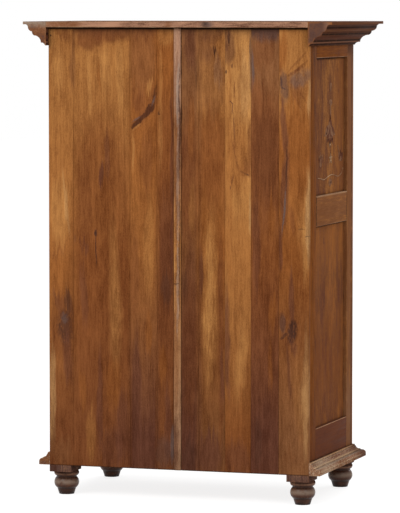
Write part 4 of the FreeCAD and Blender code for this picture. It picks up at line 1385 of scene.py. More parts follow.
        Mark(RUSSET, (297, 82), (297, 102), 0.05, 0.5),
        Stain(PLUM, (283, 72), (284.5, 102), 0.036, 0.7),
        Stain(SLATE, (309, 74), (293, 83), 0.06, 0.5),
        Crack(UMBER, (304, 66), (287, 76.5), 0.012, 0.6),
        Mark(TAN, (308.5, 78), (308, 112), 0.012, 0.6),
        Mark(GOLD, (284, 76), (306, 50), 0.02, 0.5),
        Crack(RUSSET, (306, 52), (288, 72), 0.009, 0.5),
        Crack(RUSSET, (308, 60), (290, 76), 0.009, 0.6),
        Crack(RUSSET, (290, 88), (302, 110), 0.007, 0.5),
        Crack(RUSSET, (296, 86), (307, 104), 0.007, 0.5),
        Crack(UMBER, (281.5, 96), (283, 112), 0.008, 0.6),
        Mark(UMBER, (281.5, 100), (287, 160), 0.026, 0.7),
        Mark(UMBER, (287.4, 150), (283, 232), 0.03, 0.7),
        Crack(SMOKE, (287.4, 140), (286.4, 194), 0.005, 0.8),
        Crack(SLATE, (286, 188), (282.4, 236), 0.007, 0.8),
        Mark(UMBER, (281.8, 230), (279.8, 276), 0.018, 0.7),
        Mark(RUSSET, (291, 205), (293, 230), 0.02, 0.6),
        Mark(HONEY, (306, 190), (306, 285), 0.028, 0.75),
        Mark(TAN, (308.3, 165), (308, 262), 0.02, 0.9),
        Crack(SMOKE, (298, 229), (305, 229.3), 0.004, 0.6),
        Crack(SMOKE, (305, 237), (309, 236.4), 0.004, 0.6),
        Mark(UMBER, (291, 272), (292, 330), 0.024, 0.7),
        Crack(SMOKE, (293, 322), (291.5, 342), 0.034, 0.95),
        Crack(SMOKE, (288, 333), (281, 339), 0.012, 0.7),
        Mark(UMBER, (292, 342), (296, 358), 0.02, 0.5),
        Mark(UMBER, (288, 342), (290, 400), 0.014, 0.5),
        Stain(PLUM, (282, 314), (283, 334), 0.024, 0.6),
        Mark(TAN, (306, 330), (306, 466), 0.022, 0.5),
        Mark(TAN, (304.5, 376), (304.5, 428), 0.045, 0.55, 0.9),
        Mark(GOLD, (300, 360), (300, 440), 0.05, 0.25),
        Mark(RUSSET, (284, 450), (294, 458), 0.03, 0.3),
        Swirl((302, 79), 0.075, 0.04),
        Swirl((291.5, 334), 0.06, 0.028),
        head_stain=0.0,
        grime=0.1,
    ),
)

# How far the colours run over the joints that hardly show, by the number of the first board
SOFT_JOINTS = {1: 0.024, 2: 0.012, 3: 0.014, 5: 0.018}

STRIP = replace(
    board(
        10, ASH, GOLD, DUST,
        Mark(COCOA, (175.5, 112), (175, 208), 0.05, 0.9),
        Mark(HONEY, (174.2, 204), (173.6, 300), 0.012, 0.6),
        Mark(RUSSET, (177.4, 36), (177, 300), 0.012, 0.35),
        Crack(PEWTER, (178.6, 60), (178.2, 130), 0.014, 0.75),
        Crack(PEWTER, (178.3, 120), (178, 250), 0.012, 0.45),
        Crack(PEWTER, (178.2, 235), (177.8, 340), 0.009, 0.6),
        Crack(SMOKE, (180.1, 60), (179.8, 200), 0.007, 0.8),
        Crack(SMOKE, (179.9, 190), (179.5, 330), 0.006, 0.7),
        Mark(RUSSET, (176.4, 300), (176, 420), 0.02, 0.45),
        Crack(SMOKE, (173.5, 283.5), (179, 284), 0.005, 0.7),
        Mark(UMBER, (176, 425), (176, 470), 0.03, 0.6),
    ),
    name="back_strip",
    contrast=1.5,
    wear=0.3,
    wear_reach=0.003,
    head_stain=0.0,
    head_shadow=1.0 * MM,
)


# Ways of working at the bench

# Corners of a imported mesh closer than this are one, and faces this near to flat, in degrees, are too
WELD = 0.01 * MM
FLAT = 0.4

# Wider roundings stop where they meet
LEAST_CLAMPED = 1.0 * MM

# How many sides a disc has
ROUND = 20

# How square a face or an edge is to an axis, or how near to a tip a corner is, to count as that
SQUARE = 0.9
STRAIGHT = 0.99
TIP = 0.98
SLACK = 0.1 * MM


def focus(piece: Piece) -> None:
    """Select one object alone and make it active.

    Args:
        piece: The object.
    """
    if bpy.context.mode != "OBJECT":
        bpy.ops.object.mode_set(mode="OBJECT")
    bpy.ops.object.select_all(action="DESELECT")
    piece.select_set(True)
    bpy.context.view_layer.objects.active = piece


def edit(piece: Piece) -> None:
    """Open one object's mesh with everything in it selected.

    Args:
        piece: The object.
    """
    focus(piece)
    bpy.ops.object.mode_set(mode="EDIT")
    bpy.ops.mesh.select_all(action="SELECT")


def pick(piece: Piece, kind: str, wanted: Callable[[bpy.types.bpy_struct], bool]) -> None:
    """Open one object's mesh with some of its edges or corners selected.

    Args:
        piece: The object.
        kind: What is selected, edges or vertices.
        wanted: Says whether one of them is selected.
    """
    edit(piece)
    bpy.ops.mesh.select_mode(type="EDGE")
    bpy.ops.mesh.select_all(action="DESELECT")
    bpy.ops.object.mode_set(mode="OBJECT")
    for element in getattr(piece.data, kind):
        element.select = wanted(element)
    bpy.ops.object.mode_set(mode="EDIT")


def settle(piece: Piece) -> Piece:
    """Put an object's place and turn into its mesh.

    Args:
        piece: The object.

    Returns:
        The same object.
    """
    focus(piece)
    bpy.ops.object.transform_apply(location=True, rotation=True, scale=True)
    return piece


def disc(radius: float) -> Piece:
    """A flat disc at the origin.

    Args:
        radius: Its radius.

    Returns:
        The disc.
    """
    bpy.ops.object.select_all(action="DESELECT")
    origin = (0.0, 0.0, 0.0)
    bpy.ops.mesh.primitive_circle_add(vertices=ROUND, radius=radius, fill_type="NGON", location=origin)
    return bpy.context.object


def block(centre: Sequence[float], size: Sequence[float]) -> Piece:
    """A square block.

    Args:
        centre: Its middle.
        size: Its size along each axis.

    Returns:
        The block.
    """
    bpy.ops.object.select_all(action="DESELECT")
    bpy.ops.mesh.primitive_cube_add(size=1.0, location=centre)
    piece = bpy.context.object
    piece.scale = size
    return settle(piece)


def joined(pieces: Sequence[Piece], name: str) -> Piece:
    """Make one object of several.

    Args:
        pieces: The objects.
        name: What the whole is called.

    Returns:
        The joined object.
    """
    focus(pieces[0])
    for piece in pieces:
        piece.select_set(True)
    if len(pieces) > 1:
        bpy.ops.object.join()
    whole = bpy.context.object
    whole.name = name
    whole.data.name = name
    return whole


def smoothed(piece: Piece, angle: float = 35.0) -> Piece:
    """Shade an object smooth, apart from its sharp edges.

    Args:
        piece: The object.
        angle: The least angle of a sharp edge, in degrees.

    Returns:
        The same object.
    """
    focus(piece)
    bpy.ops.object.shade_smooth_by_angle(angle=math.radians(angle))
    return piece


def bevelled(piece: Piece, width: float, segments: int = 2, angle: float = 30.0) -> Piece:
    """Round an object's sharp edges, and give them its last material.

    Args:
        piece: The object.
        width: How far the rounding reaches from an edge, in metres.
        segments: How many steps it has.
        angle: The least angle of an edge that is rounded, in degrees.

    Returns:
        The same object.
    """
    focus(piece)
    rounding = piece.modifiers.new("rounding", "BEVEL")
    rounding.width = width
    rounding.segments = segments
    rounding.limit_method = "ANGLE"
    rounding.angle_limit = math.radians(angle)
    rounding.use_clamp_overlap = width > LEAST_CLAMPED
    rounding.material = len(piece.data.materials) - 1
    bpy.ops.object.modifier_apply(modifier=rounding.name)
    return smoothed(piece)


def copied(node: str, name: str) -> Piece:
    """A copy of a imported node, merged into whole faces.

    Args:
        node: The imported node.
        name: What the copy is called.

    Returns:
        The copy, free of the frame.
    """
    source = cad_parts[node]
    twin = source.copy()
    twin.data = source.data.copy()
    twin.name = name
    twin.data.name = name
    for key in list(twin.keys()):
        del twin[key]
    twin.parent = None
    bpy.context.scene.collection.objects.link(twin)
    focus(twin)
    bpy.ops.mesh.customdata_custom_splitnormals_clear()
    edit(twin)
    bpy.ops.mesh.remove_doubles(threshold=WELD)
    bpy.ops.mesh.dissolve_limited(angle_limit=math.radians(FLAT))
    bpy.ops.object.mode_set(mode="OBJECT")
    return twin


def painted(piece: Piece, *materials: bpy.types.Material) -> Piece:
    """Give an object its materials, with the first one everywhere.

    Args:
        piece: The object.
        *materials: Its materials.

    Returns:
        The same object.
    """
    piece.data.materials.clear()
    for material in materials:
        piece.data.materials.append(material)
    piece.data.polygons.foreach_set("material_index", [0] * len(piece.data.polygons))
    return piece


def paint_where(piece: Piece, number: int, wanted: Callable[[bpy.types.MeshPolygon], bool]) -> None:
    """Give one of an object's materials to some of its faces.

    Args:
        piece: The object.
        number: Which of its materials.
        wanted: Says whether a face gets it.
    """
    for face in piece.data.polygons:
        if wanted(face):
            face.material_index = number


def seated(piece: Piece, body: str, slot: Slot, *nodes: str) -> Piece:
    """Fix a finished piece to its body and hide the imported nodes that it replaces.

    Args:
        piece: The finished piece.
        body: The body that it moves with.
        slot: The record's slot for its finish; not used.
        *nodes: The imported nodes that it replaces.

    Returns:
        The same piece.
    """
    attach(piece, body)
    if nodes:
        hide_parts(*nodes)
    LOG.info("%s rides on %s: %d faces", piece.name, body, len(piece.data.polygons))
    return piece


# Sub-assemblies


@dataclass
class WoodSet:
    """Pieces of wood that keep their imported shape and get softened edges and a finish."""

    body: str
    slot: Slot
    finish: WoodFinish
    grains: dict[str, Axis] = field(default_factory=dict)
    softness: float = 1.4 * MM
    end: WoodFinish | None = None
    end_axis: Axis | None = None

    def build(self) -> None:
        """Soften, dress and seat every piece."""
        for node, grain in self.grains.items():
            piece = copied(node, f"{node}.eased")
            ends = [self.end.material(grain)] if self.end else []
            painted(piece, self.finish.material(grain), *ends, self.finish.arris().material(grain))
            if self.end:
                way = (self.end_axis or grain).value
                paint_where(piece, 1, lambda face: abs(face.normal[way]) > SQUARE)
            bevelled(piece, self.softness)
            seated(piece, self.body, self.slot, node)


@dataclass
class SideRail:
    """A rail of a side: its long outer edges are rubbed pale, and its ends meet the posts in dark lines."""

    node: str
    finish: WoodFinish
    rub: float = 1.8 * MM
    joint: float = 1.2 * MM
    segments: int = 2

    def ease(self, rail: Piece, along: Axis, width: float, material: int) -> None:
        """Bevel the outer face's edges that run one way.

        Args:
            rail: The rail.
            along: The way that the edges run.
            width: How far the bevel reaches.
            material: Which of the rail's materials the bevel gets.
        """
        outer = max(abs(corner.x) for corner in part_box(self.node)) - SLACK

        def wanted(edge: bpy.types.MeshEdge) -> bool:
            """Whether an edge is on the outer face and runs that way.

            Args:
                edge: The edge.

            Returns:
                True for such an edge.
            """
            start, end = (rail.data.vertices[index].co for index in edge.vertices)
            run = end - start
            is_outer = min(abs(start.x), abs(end.x)) > outer
            return is_outer and abs(run[along.value]) > STRAIGHT * run.length

        pick(rail, "edges", wanted)
        bpy.ops.mesh.bevel(offset=width, segments=self.segments, material=material)
        bpy.ops.object.mode_set(mode="OBJECT")

    def build(self) -> None:
        """Ease the edges, dress the rail and seat it."""
        rail = copied(self.node, f"{self.node}.eased")
        joint = JOINT_WOOD.material(Axis.Y)
        painted(rail, self.finish.material(Axis.Y), RUBBED_WOOD.material(Axis.Y), joint)
        self.ease(rail, Axis.Y, self.rub, material=1)
        self.ease(rail, Axis.Z, self.joint, material=2)
        smoothed(rail)
        seated(rail, "case", Slot.CASE, self.node)


@dataclass
class Foot:
    """A turned foot under its square block."""

    node: str
    block_foot: float = 77.0 * MM
    softness: float = 1.6 * MM

    def build(self) -> None:
        """Soften the foot's edges, dress it and seat it."""
        foot = copied(self.node, f"{self.node}.eased")
        finishes = (FOOT_WOOD, BLOCK_WOOD, BLOCK_WOOD.arris())
        painted(foot, *(finish.material(Axis.Z) for finish in finishes))
        paint_where(foot, 1, lambda face: face.center.z > self.block_foot)
        bevelled(foot, self.softness)
        seated(foot, "case", Slot.FOOT, self.node)


@dataclass
class BackPanel:
    """The boarded back, the slips in its joints and the strip up its middle."""

    softness: float = 0.5 * MM
    strip_softness: float = 2.0 * MM
    slip_thickness: float = 5.0 * MM

    def boards(self) -> list[tuple[Piece, str]]:
        """The separate boards, from the right end of the back to the left one.

        Returns:
            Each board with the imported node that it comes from.
        """
        found: list[tuple[Piece, str]] = []
        for node in ("back_boards_right", "back_boards_left"):
            whole = copied(node, f"{node}.whole")
            edit(whole)
            bpy.ops.mesh.separate(type="LOOSE")
            bpy.ops.object.mode_set(mode="OBJECT")
            found += [(piece, node) for piece in bpy.context.selected_objects]
        return sorted(found, key=lambda pair: -max(vertex.co.x for vertex in pair[0].data.vertices))

    def joints(self, boards: Sequence[tuple[Piece, str]]) -> dict[int, tuple[float, float]]:
        """Where the boards of one half stop short of each other.

        Args:
            boards: The boards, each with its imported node.

        Returns:
            The two sides of each gap, by the number of its first board.
        """
        found: dict[int, tuple[float, float]] = {}
        for number, ((first, node), (second, next_node)) in enumerate(zip(boards, boards[1:]), 1):
            if node == next_node:
                low = max(vertex.co.x for vertex in second.data.vertices)
                high = min(vertex.co.x for vertex in first.data.vertices)
                found[number] = (low, high)
        return found

    def finish(self, number: int, joints: dict[int, tuple[float, float]]) -> BoardFinish:
        """A board's finish, which runs into its neighbours' where the joint hardly shows.

        Args:
            number: The board's place, counted from the right end.
            joints: The two sides of each gap, by the number of its first board.

        Returns:
            The finish.
        """
        fades: list[Fade] = []
        for first, reach in SOFT_JOINTS.items():
            others = {first: first + 1, first + 1: first}
            if number in others:
                other = BOARDS[others[number] - 1]
                fades.append(Fade(sum(joints[first]) / 2, reach, other))
        return replace(BOARDS[number - 1], fades=tuple(fades))

    def slip(self, joints: Sequence[tuple[float, float]]) -> None:
        """Fill the gaps between the boards with thin slips, which keep the light out.

        Args:
            joints: The two sides of each gap.
        """
        low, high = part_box("back_boards_left")
        middle = (low + high) / 2
        height = high.z - low.z - 2.0 * self.softness
        slips = [
            block(((start + end) / 2, middle.y, middle.z), (end - start, self.slip_thickness, height))
            for start, end in joints
        ]
        piece = painted(joined(slips, "back_slips"), JOINT_WOOD.material(Axis.Z))
        seated(piece, "case", Slot.BACK)

    def build(self) -> None:
        """Build and dress the boards, the slips and the strip."""
        boards = self.boards()
        joints = self.joints(boards)
        self.slip(list(joints.values()))
        for number, (piece, node) in enumerate(boards, 1):
            finish = self.finish(number, joints)
            piece.name = finish.name
            bevelled(painted(piece, finish.material()), self.softness)
            seated(piece, "case", Slot.BACK, node)
        strip = copied("back_centre_strip", "back_centre_strip.eased")
        bevelled(painted(strip, STRIP.material()), self.strip_softness)
        seated(strip, "case", Slot.BACK, "back_centre_strip")


@dataclass
class Carving:
    """The low relief on an upper side panel: a hanging husk garland over a shaped line."""

    side: str
    height: float = 3.0 * MM
    sunk: float = 0.4 * MM
    point: float = 0.22
    margin: float = 0.16
    steps: tuple[float, float, float] = (0.4, 0.4, 0.2)
    softness: float = 0.5 * MM
    soft_angle: float = 40.0
    forms: list[Piece] = field(default_factory=list)

    def spot(self, pixel: Pixel) -> tuple[float, float]:
        """Where a pixel lies on the panel.

        Args:
            pixel: Its place in the photograph.

        Returns:
            How far across from the panel's middle it is, and how far up.
        """
        point = VIEW.on_side(pixel)
        low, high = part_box("side_upper_panel_left")
        return (low.y + high.y) / 2 - point.y, point.z

    def leaf(self, centre: tuple[float, float], length: float, width: float, lean: float) -> None:
        """One carved leaf: a disc drawn out to a point, with sloping sides and a raised middle.

        Args:
            centre: Its middle, across and up the panel.
            length: Its length.
            width: Its width.
            lean: How far its point leans to the right, in degrees.
        """
        leaf = disc(0.5)
        leaf.scale = (width, length, 1.0)
        settle(leaf)
        tip = max(vertex.co.y for vertex in leaf.data.vertices)
        pick(leaf, "vertices", lambda vertex: vertex.co.y > tip * TIP)
        bpy.ops.transform.translate(value=(0.0, length * self.point, 0.0))
        bpy.ops.mesh.select_all(action="SELECT")
        wall, slope, crown = (self.height * share for share in self.steps)
        bpy.ops.mesh.extrude_region_move(TRANSFORM_OT_translate={"value": (0.0, 0.0, wall)})
        for rise in (slope, crown):
            bpy.ops.mesh.inset(thickness=width * self.margin, depth=rise)
        bpy.ops.mesh.select_all(action="SELECT")
        bpy.ops.mesh.normals_make_consistent(inside=False)
        bpy.ops.object.mode_set(mode="OBJECT")
        leaf.rotation_euler = (0.0, 0.0, math.radians(-lean))
        leaf.location = (centre[0], centre[1], -self.sunk)
        self.forms.append(settle(leaf))

    def spray(self, centre: tuple[float, float], reach: float, width: float, leans: Sequence[float]) -> None:
        """A fan of leaves that spring from one point.

        Args:
            centre: The point.
            reach: The length of each leaf.
            width: The width of each leaf.
            leans: How far each leaf leans, in degrees.
        """
        for lean in leans:
            turn = math.radians(lean)
            middle = (
                centre[0] + 0.5 * reach * math.sin(turn),
                centre[1] + 0.5 * reach * math.cos(turn),
            )
            self.leaf(middle, reach, width, lean)

    def line(self, points: Sequence[tuple[float, float]], radius: float) -> None:
        """A raised round line that follows a row of points.

        Args:
            points: Its points, across and up the panel.
            radius: Half its thickness.
        """
        curve = bpy.data.curves.new("carved_line", "CURVE")
        curve.dimensions = "3D"
        spline = curve.splines.new("NURBS")
        spline.points.add(len(points) - 1)
        for point, (across, up) in zip(spline.points, points):
            point.co = (across, up, 0.0, 1.0)
        spline.use_endpoint_u = True
        spline.order_u = 3
        curve.bevel_depth = radius
        curve.bevel_resolution = 2
        curve.use_fill_caps = True
        raised = bpy.data.objects.new("carved_line", curve)
        bpy.context.scene.collection.objects.link(raised)
        focus(raised)
        bpy.ops.object.convert(target="MESH")
        self.forms.append(bpy.context.object)

    def taken(self, name: str, finish: WoodFinish) -> Piece:
        """Join the forms drawn so far, stand them on the panel and dress them.

        Args:
            name: What they are called.
            finish: Their finish.

        Returns:
            The finished piece.
        """
        piece = joined(self.forms, f"{name}_{self.side}")
        self.forms = []
        low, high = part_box(f"side_upper_panel_{self.side}")
        way = -1.0 if self.side == "left" else 1.0
        piece.rotation_euler = (math.radians(90.0), 0.0, math.radians(90.0 * way))
        piece.location = (low.x if self.side == "left" else high.x, (low.y + high.y) / 2, 0.0)
        settle(piece)
        painted(piece, finish.material(Axis.Z))
        bevelled(piece, self.softness, segments=1, angle=self.soft_angle)
        return seated(piece, "case", Slot.CASE)

    def build(self) -> None:
        """Carve the garland, the fan, the sprays and the line under them."""
        upright, hanging = 0.0, 180.0
        garland = (
            ((330.7, 86.5), 0.028, 0.026),
            ((330.5, 102.5), 0.024, 0.040),
            ((330.3, 113.0), 0.050, 0.016),
            ((330.1, 124.0), 0.036, 0.040),
        )
        for pixel, length, width in garland:
            self.leaf(self.spot(pixel), length, width, hanging)
        fan_root, fan = (329.6, 127.0), (hanging, 146.0, 214.0, 114.0, 246.0)
        self.spray(self.spot(fan_root), reach=0.064, width=0.034, leans=fan)
        left_root, left_leans = (320.6, 167.0), (upright, 28.0, -30.0)
        self.spray(self.spot(left_root), reach=0.044, width=0.022, leans=left_leans)
        right_root, right_leans = (340.4, 160.5), (upright, 46.0, -42.0)
        self.spray(self.spot(right_root), reach=0.036, width=0.024, leans=right_leans)
        stem = ((337.4, 145.0), (338.0, 149.0), (339.4, 153.5), (340.5, 158.5))
        self.line([self.spot(pixel) for pixel in stem], radius=2.0 * MM)
        drop = (330.0, 182.0)
        self.leaf(self.spot(drop), length=0.026, width=0.04, lean=hanging)
        self.taken("carving", CARVED_WOOD)
        bud = (329.7, 144.6)
        self.leaf(self.spot(bud), length=0.008, width=0.016, lean=upright)
        flower, petals = (330.4, 158.5), (upright, 72.0, 144.0, 216.0, 288.0)
        self.spray(self.spot(flower), reach=0.018, width=0.006, leans=petals)
        ogee = (
            (317.5, 178.4), (320.8, 178.6), (323.6, 180.3), (327.2, 177.0), (331.4, 174.2),
            (334.9, 175.0), (337.7, 176.6), (340.5, 174.2), (341.9, 171.0), (342.6, 167.5),
        )
        self.line([self.spot(pixel) for pixel in ogee], radius=1.8 * MM)
        self.taken("carved_line", LINE_WOOD)


@dataclass
class Kept:
    """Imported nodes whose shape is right, which only get a finish."""

    nodes: Sequence[str]
    material: bpy.types.Material

    def build(self) -> None:
        """Dress every node."""
        for node in self.nodes:
            painted(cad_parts[node], self.material)
            LOG.info("%s keeps its packed shape", node)


# Small fittings


@dataclass(frozen=True)
class Turned:
    """A small round fitting: a disc drawn out step by step, with or without a slot for a blade."""

    radius: float
    steps: tuple[tuple[float, float], ...]
    slot: float = 0.0
    slot_depth: float = 0.6
    slot_reach: float = 3.0

    def slotted(self, fitting: Piece) -> None:
        """Cut a slot across the fitting's face.

        Args:
            fitting: The fitting, with its face upwards.
        """
        top = sum(rise for rise, _ in self.steps)
        size = (self.slot_reach * self.radius, self.slot, self.slot_depth * self.slot)
        blade = block((0.0, 0.0, top), size)
        focus(fitting)
        cut = fitting.modifiers.new("slot", "BOOLEAN")
        cut.object = blade
        bpy.ops.object.modifier_apply(modifier=cut.name)
        bpy.data.objects.remove(blade)

    def build(self) -> Piece:
        """Shape the fitting at the origin, with its face upwards.

        Returns:
            The fitting.
        """
        fitting = disc(self.radius)
        edit(fitting)
        for rise, share in self.steps:
            bpy.ops.mesh.extrude_region_move(TRANSFORM_OT_translate={"value": (0.0, 0.0, rise)})
            bpy.ops.transform.resize(value=(share, share, 1.0))
        bpy.ops.mesh.select_all(action="SELECT")
        bpy.ops.mesh.normals_make_consistent(inside=False)
        bpy.ops.object.mode_set(mode="OBJECT")
        if self.slot:
            self.slotted(fitting)
        return smoothed(fitting)


SCREW = Turned(2.6 * MM, ((0.4 * MM, 1.0), (0.3 * MM, 0.8)), 0.8 * MM)
PIN = Turned(1.7 * MM, ((0.3 * MM, 1.0), (0.5 * MM, 0.8), (0.3 * MM, 0.5)))
FINIAL = Turned(
    3.4 * MM,
    (
        (0.6 * MM, 1.0), (0.5 * MM, 0.65), (0.6 * MM, 1.0), (1.0 * MM, 1.5),
        (1.2 * MM, 1.1), (1.2 * MM, 0.85), (0.8 * MM, 0.5), (0.4 * MM, 0.4),
    ),
)

Place = tuple[Vector, Vector]


@dataclass
class FixingSet:
    """Copies of one small fitting on one body."""

    name: str
    body: str
    slot: Slot
    finish: MetalFinish
    pattern: Turned
    places: Sequence[Place]
    sunk: float = 0.3 * MM
    twist: float = 47.0

    def build(self) -> None:
        """Copy the fitting to every place, then join, dress and seat the copies."""
        model = self.pattern.build()
        copies: list[Piece] = []
        for number, (point, way) in enumerate(self.places):
            twin = model.copy()
            twin.data = model.data.copy()
            bpy.context.scene.collection.objects.link(twin)
            turn = Quaternion((0.0, 0.0, 1.0), math.radians(self.twist * number))
            twin.rotation_mode = "QUATERNION"
            twin.rotation_quaternion = way.to_track_quat("Z", "Y") @ turn
            twin.location = point - way * self.sunk
            copies.append(settle(twin))
        bpy.data.objects.remove(model)
        seated(painted(joined(copies, self.name), self.finish.material()), self.body, self.slot)


@dataclass(frozen=True)
class HingeRow:
    """The hinges of one door, read from their packed boxes."""

    side: str
    half_gap: float = 0.75 * MM
    knuckle: float = 4.0 * MM
    half_height: float = 35.0 * MM
    spread: float = 22.0 * MM
    near: float = 6.5 * MM
    far: float = 13.0 * MM

    def outward(self) -> Vector:
        """The way from the door's hinged edge to its post."""
        return Vector((-1.0 if self.side == "left" else 1.0, 0.0, 0.0))

    def levels(self) -> list[float]:
        """The heights of the hinges' middles."""
        low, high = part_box(f"{self.side}_door_hinge_leaves")
        return [low.z + self.half_height, (low.z + high.z) / 2, high.z - self.half_height]

    def axis(self) -> float:
        """How far from the case's middle the hinges' pins are."""
        return max(abs(corner.x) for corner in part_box(f"{self.side}_door_hinge_leaves")) - self.knuckle

    def screws(self, face: float, way: Vector) -> list[Place]:
        """Three screws on each leaf of one kind.

        Args:
            face: How far from the case's middle the leaves' faces are.
            way: The way that the faces look.

        Returns:
            The screws' places.
        """
        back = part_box(f"{self.side}_door_hinge_leaves")[1].y
        rows = ((-self.spread, self.near), (0.0, self.far), (self.spread, self.near))
        across = face * self.outward().x
        return [
            (Vector((across, back - depth, level + rise)), way)
            for level in self.levels()
            for rise, depth in rows
        ]

    def door_screws(self) -> list[Place]:
        """The screws of the leaves on the door."""
        return self.screws(self.axis() - self.half_gap, self.outward())

    def post_screws(self) -> list[Place]:
        """The screws of the leaves on the post."""
        return self.screws(self.axis() + self.half_gap, -self.outward())

    def tips(self) -> list[Place]:
        """The two ends of every hinge's pin.

        Returns:
            The ends' places.
        """
        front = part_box(f"{self.side}_door_hinge_leaves")[0].y + self.knuckle
        ends = (Vector((0.0, 0.0, -1.0)), Vector((0.0, 0.0, 1.0)))
        middles = [Vector((self.axis() * self.outward().x, front, level)) for level in self.levels()]
        return [(middle + way * self.half_height, way) for middle in middles for way in ends]


def on_back(node: str, *spots: tuple[float, float]) -> list[Place]:
    """Places on the inner face of a fitting on a door.

    Args:
        node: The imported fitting.
        *spots: How far in from its sides each place is, from the lower or, if negative, the higher end.

    Returns:
        The places.
    """
    low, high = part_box(node)
    places: list[Place] = []
    for across, up in spots:
        x = (low.x if across > 0.0 else high.x) + across
        z = (low.z if up > 0.0 else high.z) + up
        places.append((Vector((x, high.y, z)), Vector((0.0, 1.0, 0.0))))
    return places


def fixings() -> list[FixingSet]:
    """The screws, pins and finials.

    Returns:
        The groups.
    """
    left, right = (HingeRow(side) for side in SIDES)
    edge, side = 5.0 * MM, 3.4 * MM
    guide_ends = (6.0 * MM, 86.0 * MM)
    corners = [(x, z) for x in (edge, -edge) for z in (edge, -edge)]
    guides = [(x, z * way) for x in (side, -side) for z in guide_ends for way in (1.0, -1.0)]
    plate_low, plate_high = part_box("escutcheon")
    middle = (plate_low.x + plate_high.x) / 2
    front = Vector((0.0, -1.0, 0.0))
    pins = [
        (Vector((middle, plate_low.y, level)), front)
        for level in (plate_low.z + edge, plate_high.z - edge)
    ]
    post_screws = left.post_screws() + right.post_screws()
    brass, steel = (Slot.BRASS, BRASS), (Slot.STEEL, STEEL)
    steel_left = on_back("bolt_guides", *guides) + on_back("lock_keep", (edge, side), (edge, -side))
    return [
        FixingSet("post_hinge_screws", "case", *brass, SCREW, post_screws),
        FixingSet("hinge_finials", "case", *brass, FINIAL, left.tips() + right.tips()),
        FixingSet("left_door_hinge_screws", "left_door", *brass, SCREW, left.door_screws()),
        FixingSet("right_door_hinge_screws", "right_door", *brass, SCREW, right.door_screws()),
        FixingSet("left_door_screws", "left_door", *steel, SCREW, steel_left),
        FixingSet("lock_screws", "right_door", *steel, SCREW, on_back("lock_case", *corners)),
        FixingSet("escutcheon_pins", "right_door", *brass, PIN, pins),
    ]


# The studio


@dataclass
class Softbox:
    """One soft lamp."""

    name: str
    place: tuple[float, float, float]
    aim: tuple[float, float, float]
    size: float
    power: float

    def build(self) -> None:
        """Hang the lamp and point it."""
        bpy.ops.object.light_add(type="AREA", location=self.place)
        lamp = bpy.context.object
        lamp.name = self.name
        lamp.data.shape = "DISK"
        lamp.data.size = self.size
        lamp.data.energy = self.power
        away = Vector(self.place) - Vector(self.aim)
        lamp.rotation_euler = away.to_track_quat("Z", "Y").to_euler()


@dataclass
class Studio:
    """A white sweep, an even sky and soft lamps."""

    floor_size: float = 60.0
    sky: float = 0.55
    floor_colour: float = 0.8
    floor_lift: float = 0.84
    floor_shade: float = 0.32

    def seen(self, sketch: NodeSketch) -> Socket:
        """A value that is 1 for what the camera, a gloss or a pane sees.

        Args:
            sketch: The node tree that is drawn.

        Returns:
            The value's socket.
        """
        path = sketch.add("ShaderNodeLightPath")
        direct = sketch.calc(
            "MAXIMUM", path.outputs["Is Camera Ray"], path.outputs["Is Glossy Ray"]
        )
        return sketch.calc("MAXIMUM", direct, path.outputs["Is Transmission Ray"])

    def hang_sky(self) -> None:
        """Make the world even, and white where it is seen."""
        world = bpy.data.worlds.new("studio_sky")
        bpy.context.scene.world = world
        sketch = NodeSketch(world)
        light = sketch.add("ShaderNodeBackground", {"Color": (1.0, 1.0, 1.0), "Strength": self.sky})
        white = sketch.add("ShaderNodeBackground", {"Color": (1.0, 1.0, 1.0), "Strength": 1.0})
        mix = sketch.add(
            "ShaderNodeMixShader", {0: self.seen(sketch), 1: light.outputs[0], 2: white.outputs[0]}
        )
        sketch.finish(mix)

    def lay_floor(self) -> None:
        """Lay a pale floor that keeps the object's shadow."""
        bpy.ops.object.select_all(action="DESELECT")
        bpy.ops.mesh.primitive_plane_add(size=self.floor_size)
        floor = bpy.context.object
        floor.name = "floor"
        sketch = NodeSketch(bpy.data.materials.new("floor_paper"))
        plain = sketch.add("ShaderNodeBsdfDiffuse", {"Color": (self.floor_colour,) * 3})
        shade = sketch.add("ShaderNodeBsdfDiffuse", {"Color": (self.floor_shade,) * 3})
        lift = sketch.add("ShaderNodeEmission", {"Color": (1.0, 1.0, 1.0), "Strength": self.floor_lift})
        shown = sketch.add("ShaderNodeAddShader", {0: shade.outputs[0], 1: lift.outputs[0]})
        mix = sketch.add(
            "ShaderNodeMixShader", {0: self.seen(sketch), 1: plain.outputs[0], 2: shown.outputs[0]}
        )
        floor.data.materials.append(sketch.finish(mix))

    def build(self) -> None:
        """Set up the sky, the floor and the lamps."""
        bpy.context.scene.view_settings.view_transform = "Standard"
        self.hang_sky()
        self.lay_floor()
        middle = (0.0, 0.0, 0.9)
        for lamp in (
            Softbox("key_lamp", (2.2, 4.6, 3.6), middle, 2.4, 128.0),
            Softbox("fill_lamp", (-3.6, 3.6, 3.2), middle, 2.4, 70.0),
            Softbox("front_lamp", (-1.5, -5.0, 3.4), middle, 3.0, 130.0),
        ):
            lamp.build()


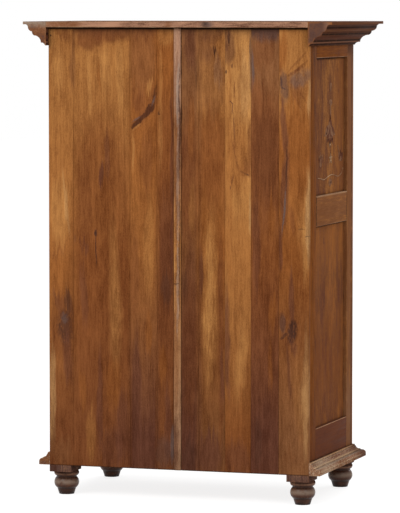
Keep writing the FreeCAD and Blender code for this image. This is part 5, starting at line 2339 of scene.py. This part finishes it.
def frame_sets() -> list[WoodSet]:
    """The case's posts, front rails and inner pieces, grouped by finish.

    Returns:
        The groups.
    """
    softness = 2.0 * MM
    back_posts = {f"back_post_{side}": Axis.Z for side in SIDES}
    front_posts = {f"front_post_{side}": Axis.Z for side in SIDES}
    front_rails = {f"front_{rail}_rail": Axis.X for rail in ("top", "bottom")}
    inner = {"back_top_rail": Axis.X, "back_bottom_rail": Axis.X, "bottom_board": Axis.X}
    inner |= {"shelves": Axis.X, "shelf_cleats": Axis.Y}
    return [
        WoodSet("case", Slot.CASE, POST_WOOD, back_posts, softness),
        WoodSet("case", Slot.CASE, DOOR_WOOD, front_rails, softness),
        WoodSet("case", Slot.CASE, FRONT_WOOD, front_posts, softness),
        WoodSet("case", Slot.INNER, INNER_WOOD, inner),
    ]


def moulding_sets() -> list[WoodSet]:
    """The top board, the cornice and the base moulding.

    Returns:
        The groups.
    """
    rows = (
        ("top_board", Axis.X, 1.2 * MM, TOP_WOOD, TOP_EDGE_WOOD, Axis.Y),
        ("cornice_left", Axis.Y, 0.8 * MM, CORNICE_WOOD, DARK_END_WOOD, None),
        ("cornice_right", Axis.Y, 0.8 * MM, CORNICE_WOOD, PALE_END_WOOD, None),
        ("cornice_front", Axis.X, 0.8 * MM, CORNICE_WOOD, None, None),
        ("base_moulding_left", Axis.Y, 1.0 * MM, BASE_WOOD, BASE_END_WOOD, None),
        ("base_moulding_right", Axis.Y, 1.0 * MM, BASE_WOOD, FAR_END_WOOD, None),
        ("base_moulding_front", Axis.X, 1.0 * MM, BASE_FRONT_WOOD, None, None),
    )
    return [
        WoodSet("case", Slot.MOULDING, finish, {node: grain}, softness, end, end_axis)
        for node, grain, softness, finish, end, end_axis in rows
    ]


def door_set(side: str) -> WoodSet:
    """The wood of one door.

    Args:
        side: The door's side of the case.

    Returns:
        The group.
    """
    grains = {f"{side}_door_{stile}_stile": Axis.Z for stile in ("hinge", "meeting")}
    grains |= {f"{side}_door_{rail}_rail": Axis.X for rail in ("top", "middle", "bottom")}
    grains |= {f"{side}_door_beads": Axis.Z}
    return WoodSet(f"{side}_door", Slot.CASE, DOOR_WOOD, grains)


def main() -> None:
    """Build the studio, the camera and every sub-assembly in order."""
    logging.basicConfig(level=logging.INFO, format="%(message)s")
    bpy.ops.object.select_all(action="DESELECT")
    Studio().build()
    VIEW.build()
    for group in (*frame_sets(), *moulding_sets()):
        group.build()
    for side in SIDES:
        for level, finish in (("top", FRAME_WOOD), ("middle", MIDDLE_WOOD), ("bottom", LOW_WOOD)):
            SideRail(f"side_{level}_rail_{side}", finish).build()
        for end in ("front", "back"):
            Foot(f"foot_{end}_{side}").build()
    BackPanel().build()
    for light, finish in (("upper", PANEL_WOOD), ("lower", LOWER_PANEL_WOOD)):
        panels = [f"side_{light}_panel_{side}" for side in SIDES]
        Kept(panels, finish.material(Axis.Z)).build()
    for side in SIDES:
        Carving(side).build()
        door_set(side).build()
        Kept([f"{side}_door_glass"], GLASS.material()).build()
        Kept([f"{side}_door_hinge_leaves"], BRASS.material()).build()
    Kept(["post_hinge_leaves", "escutcheon"], BRASS.material()).build()
    steel = ["lock_keep", "bolt_guides", "lock_case", "key", "lock_bolt", "top_bolt", "bottom_bolt"]
    Kept(steel, STEEL.material()).build()
    for fixing in fixings():
        fixing.build()


if __name__ == "__main__":
    main()
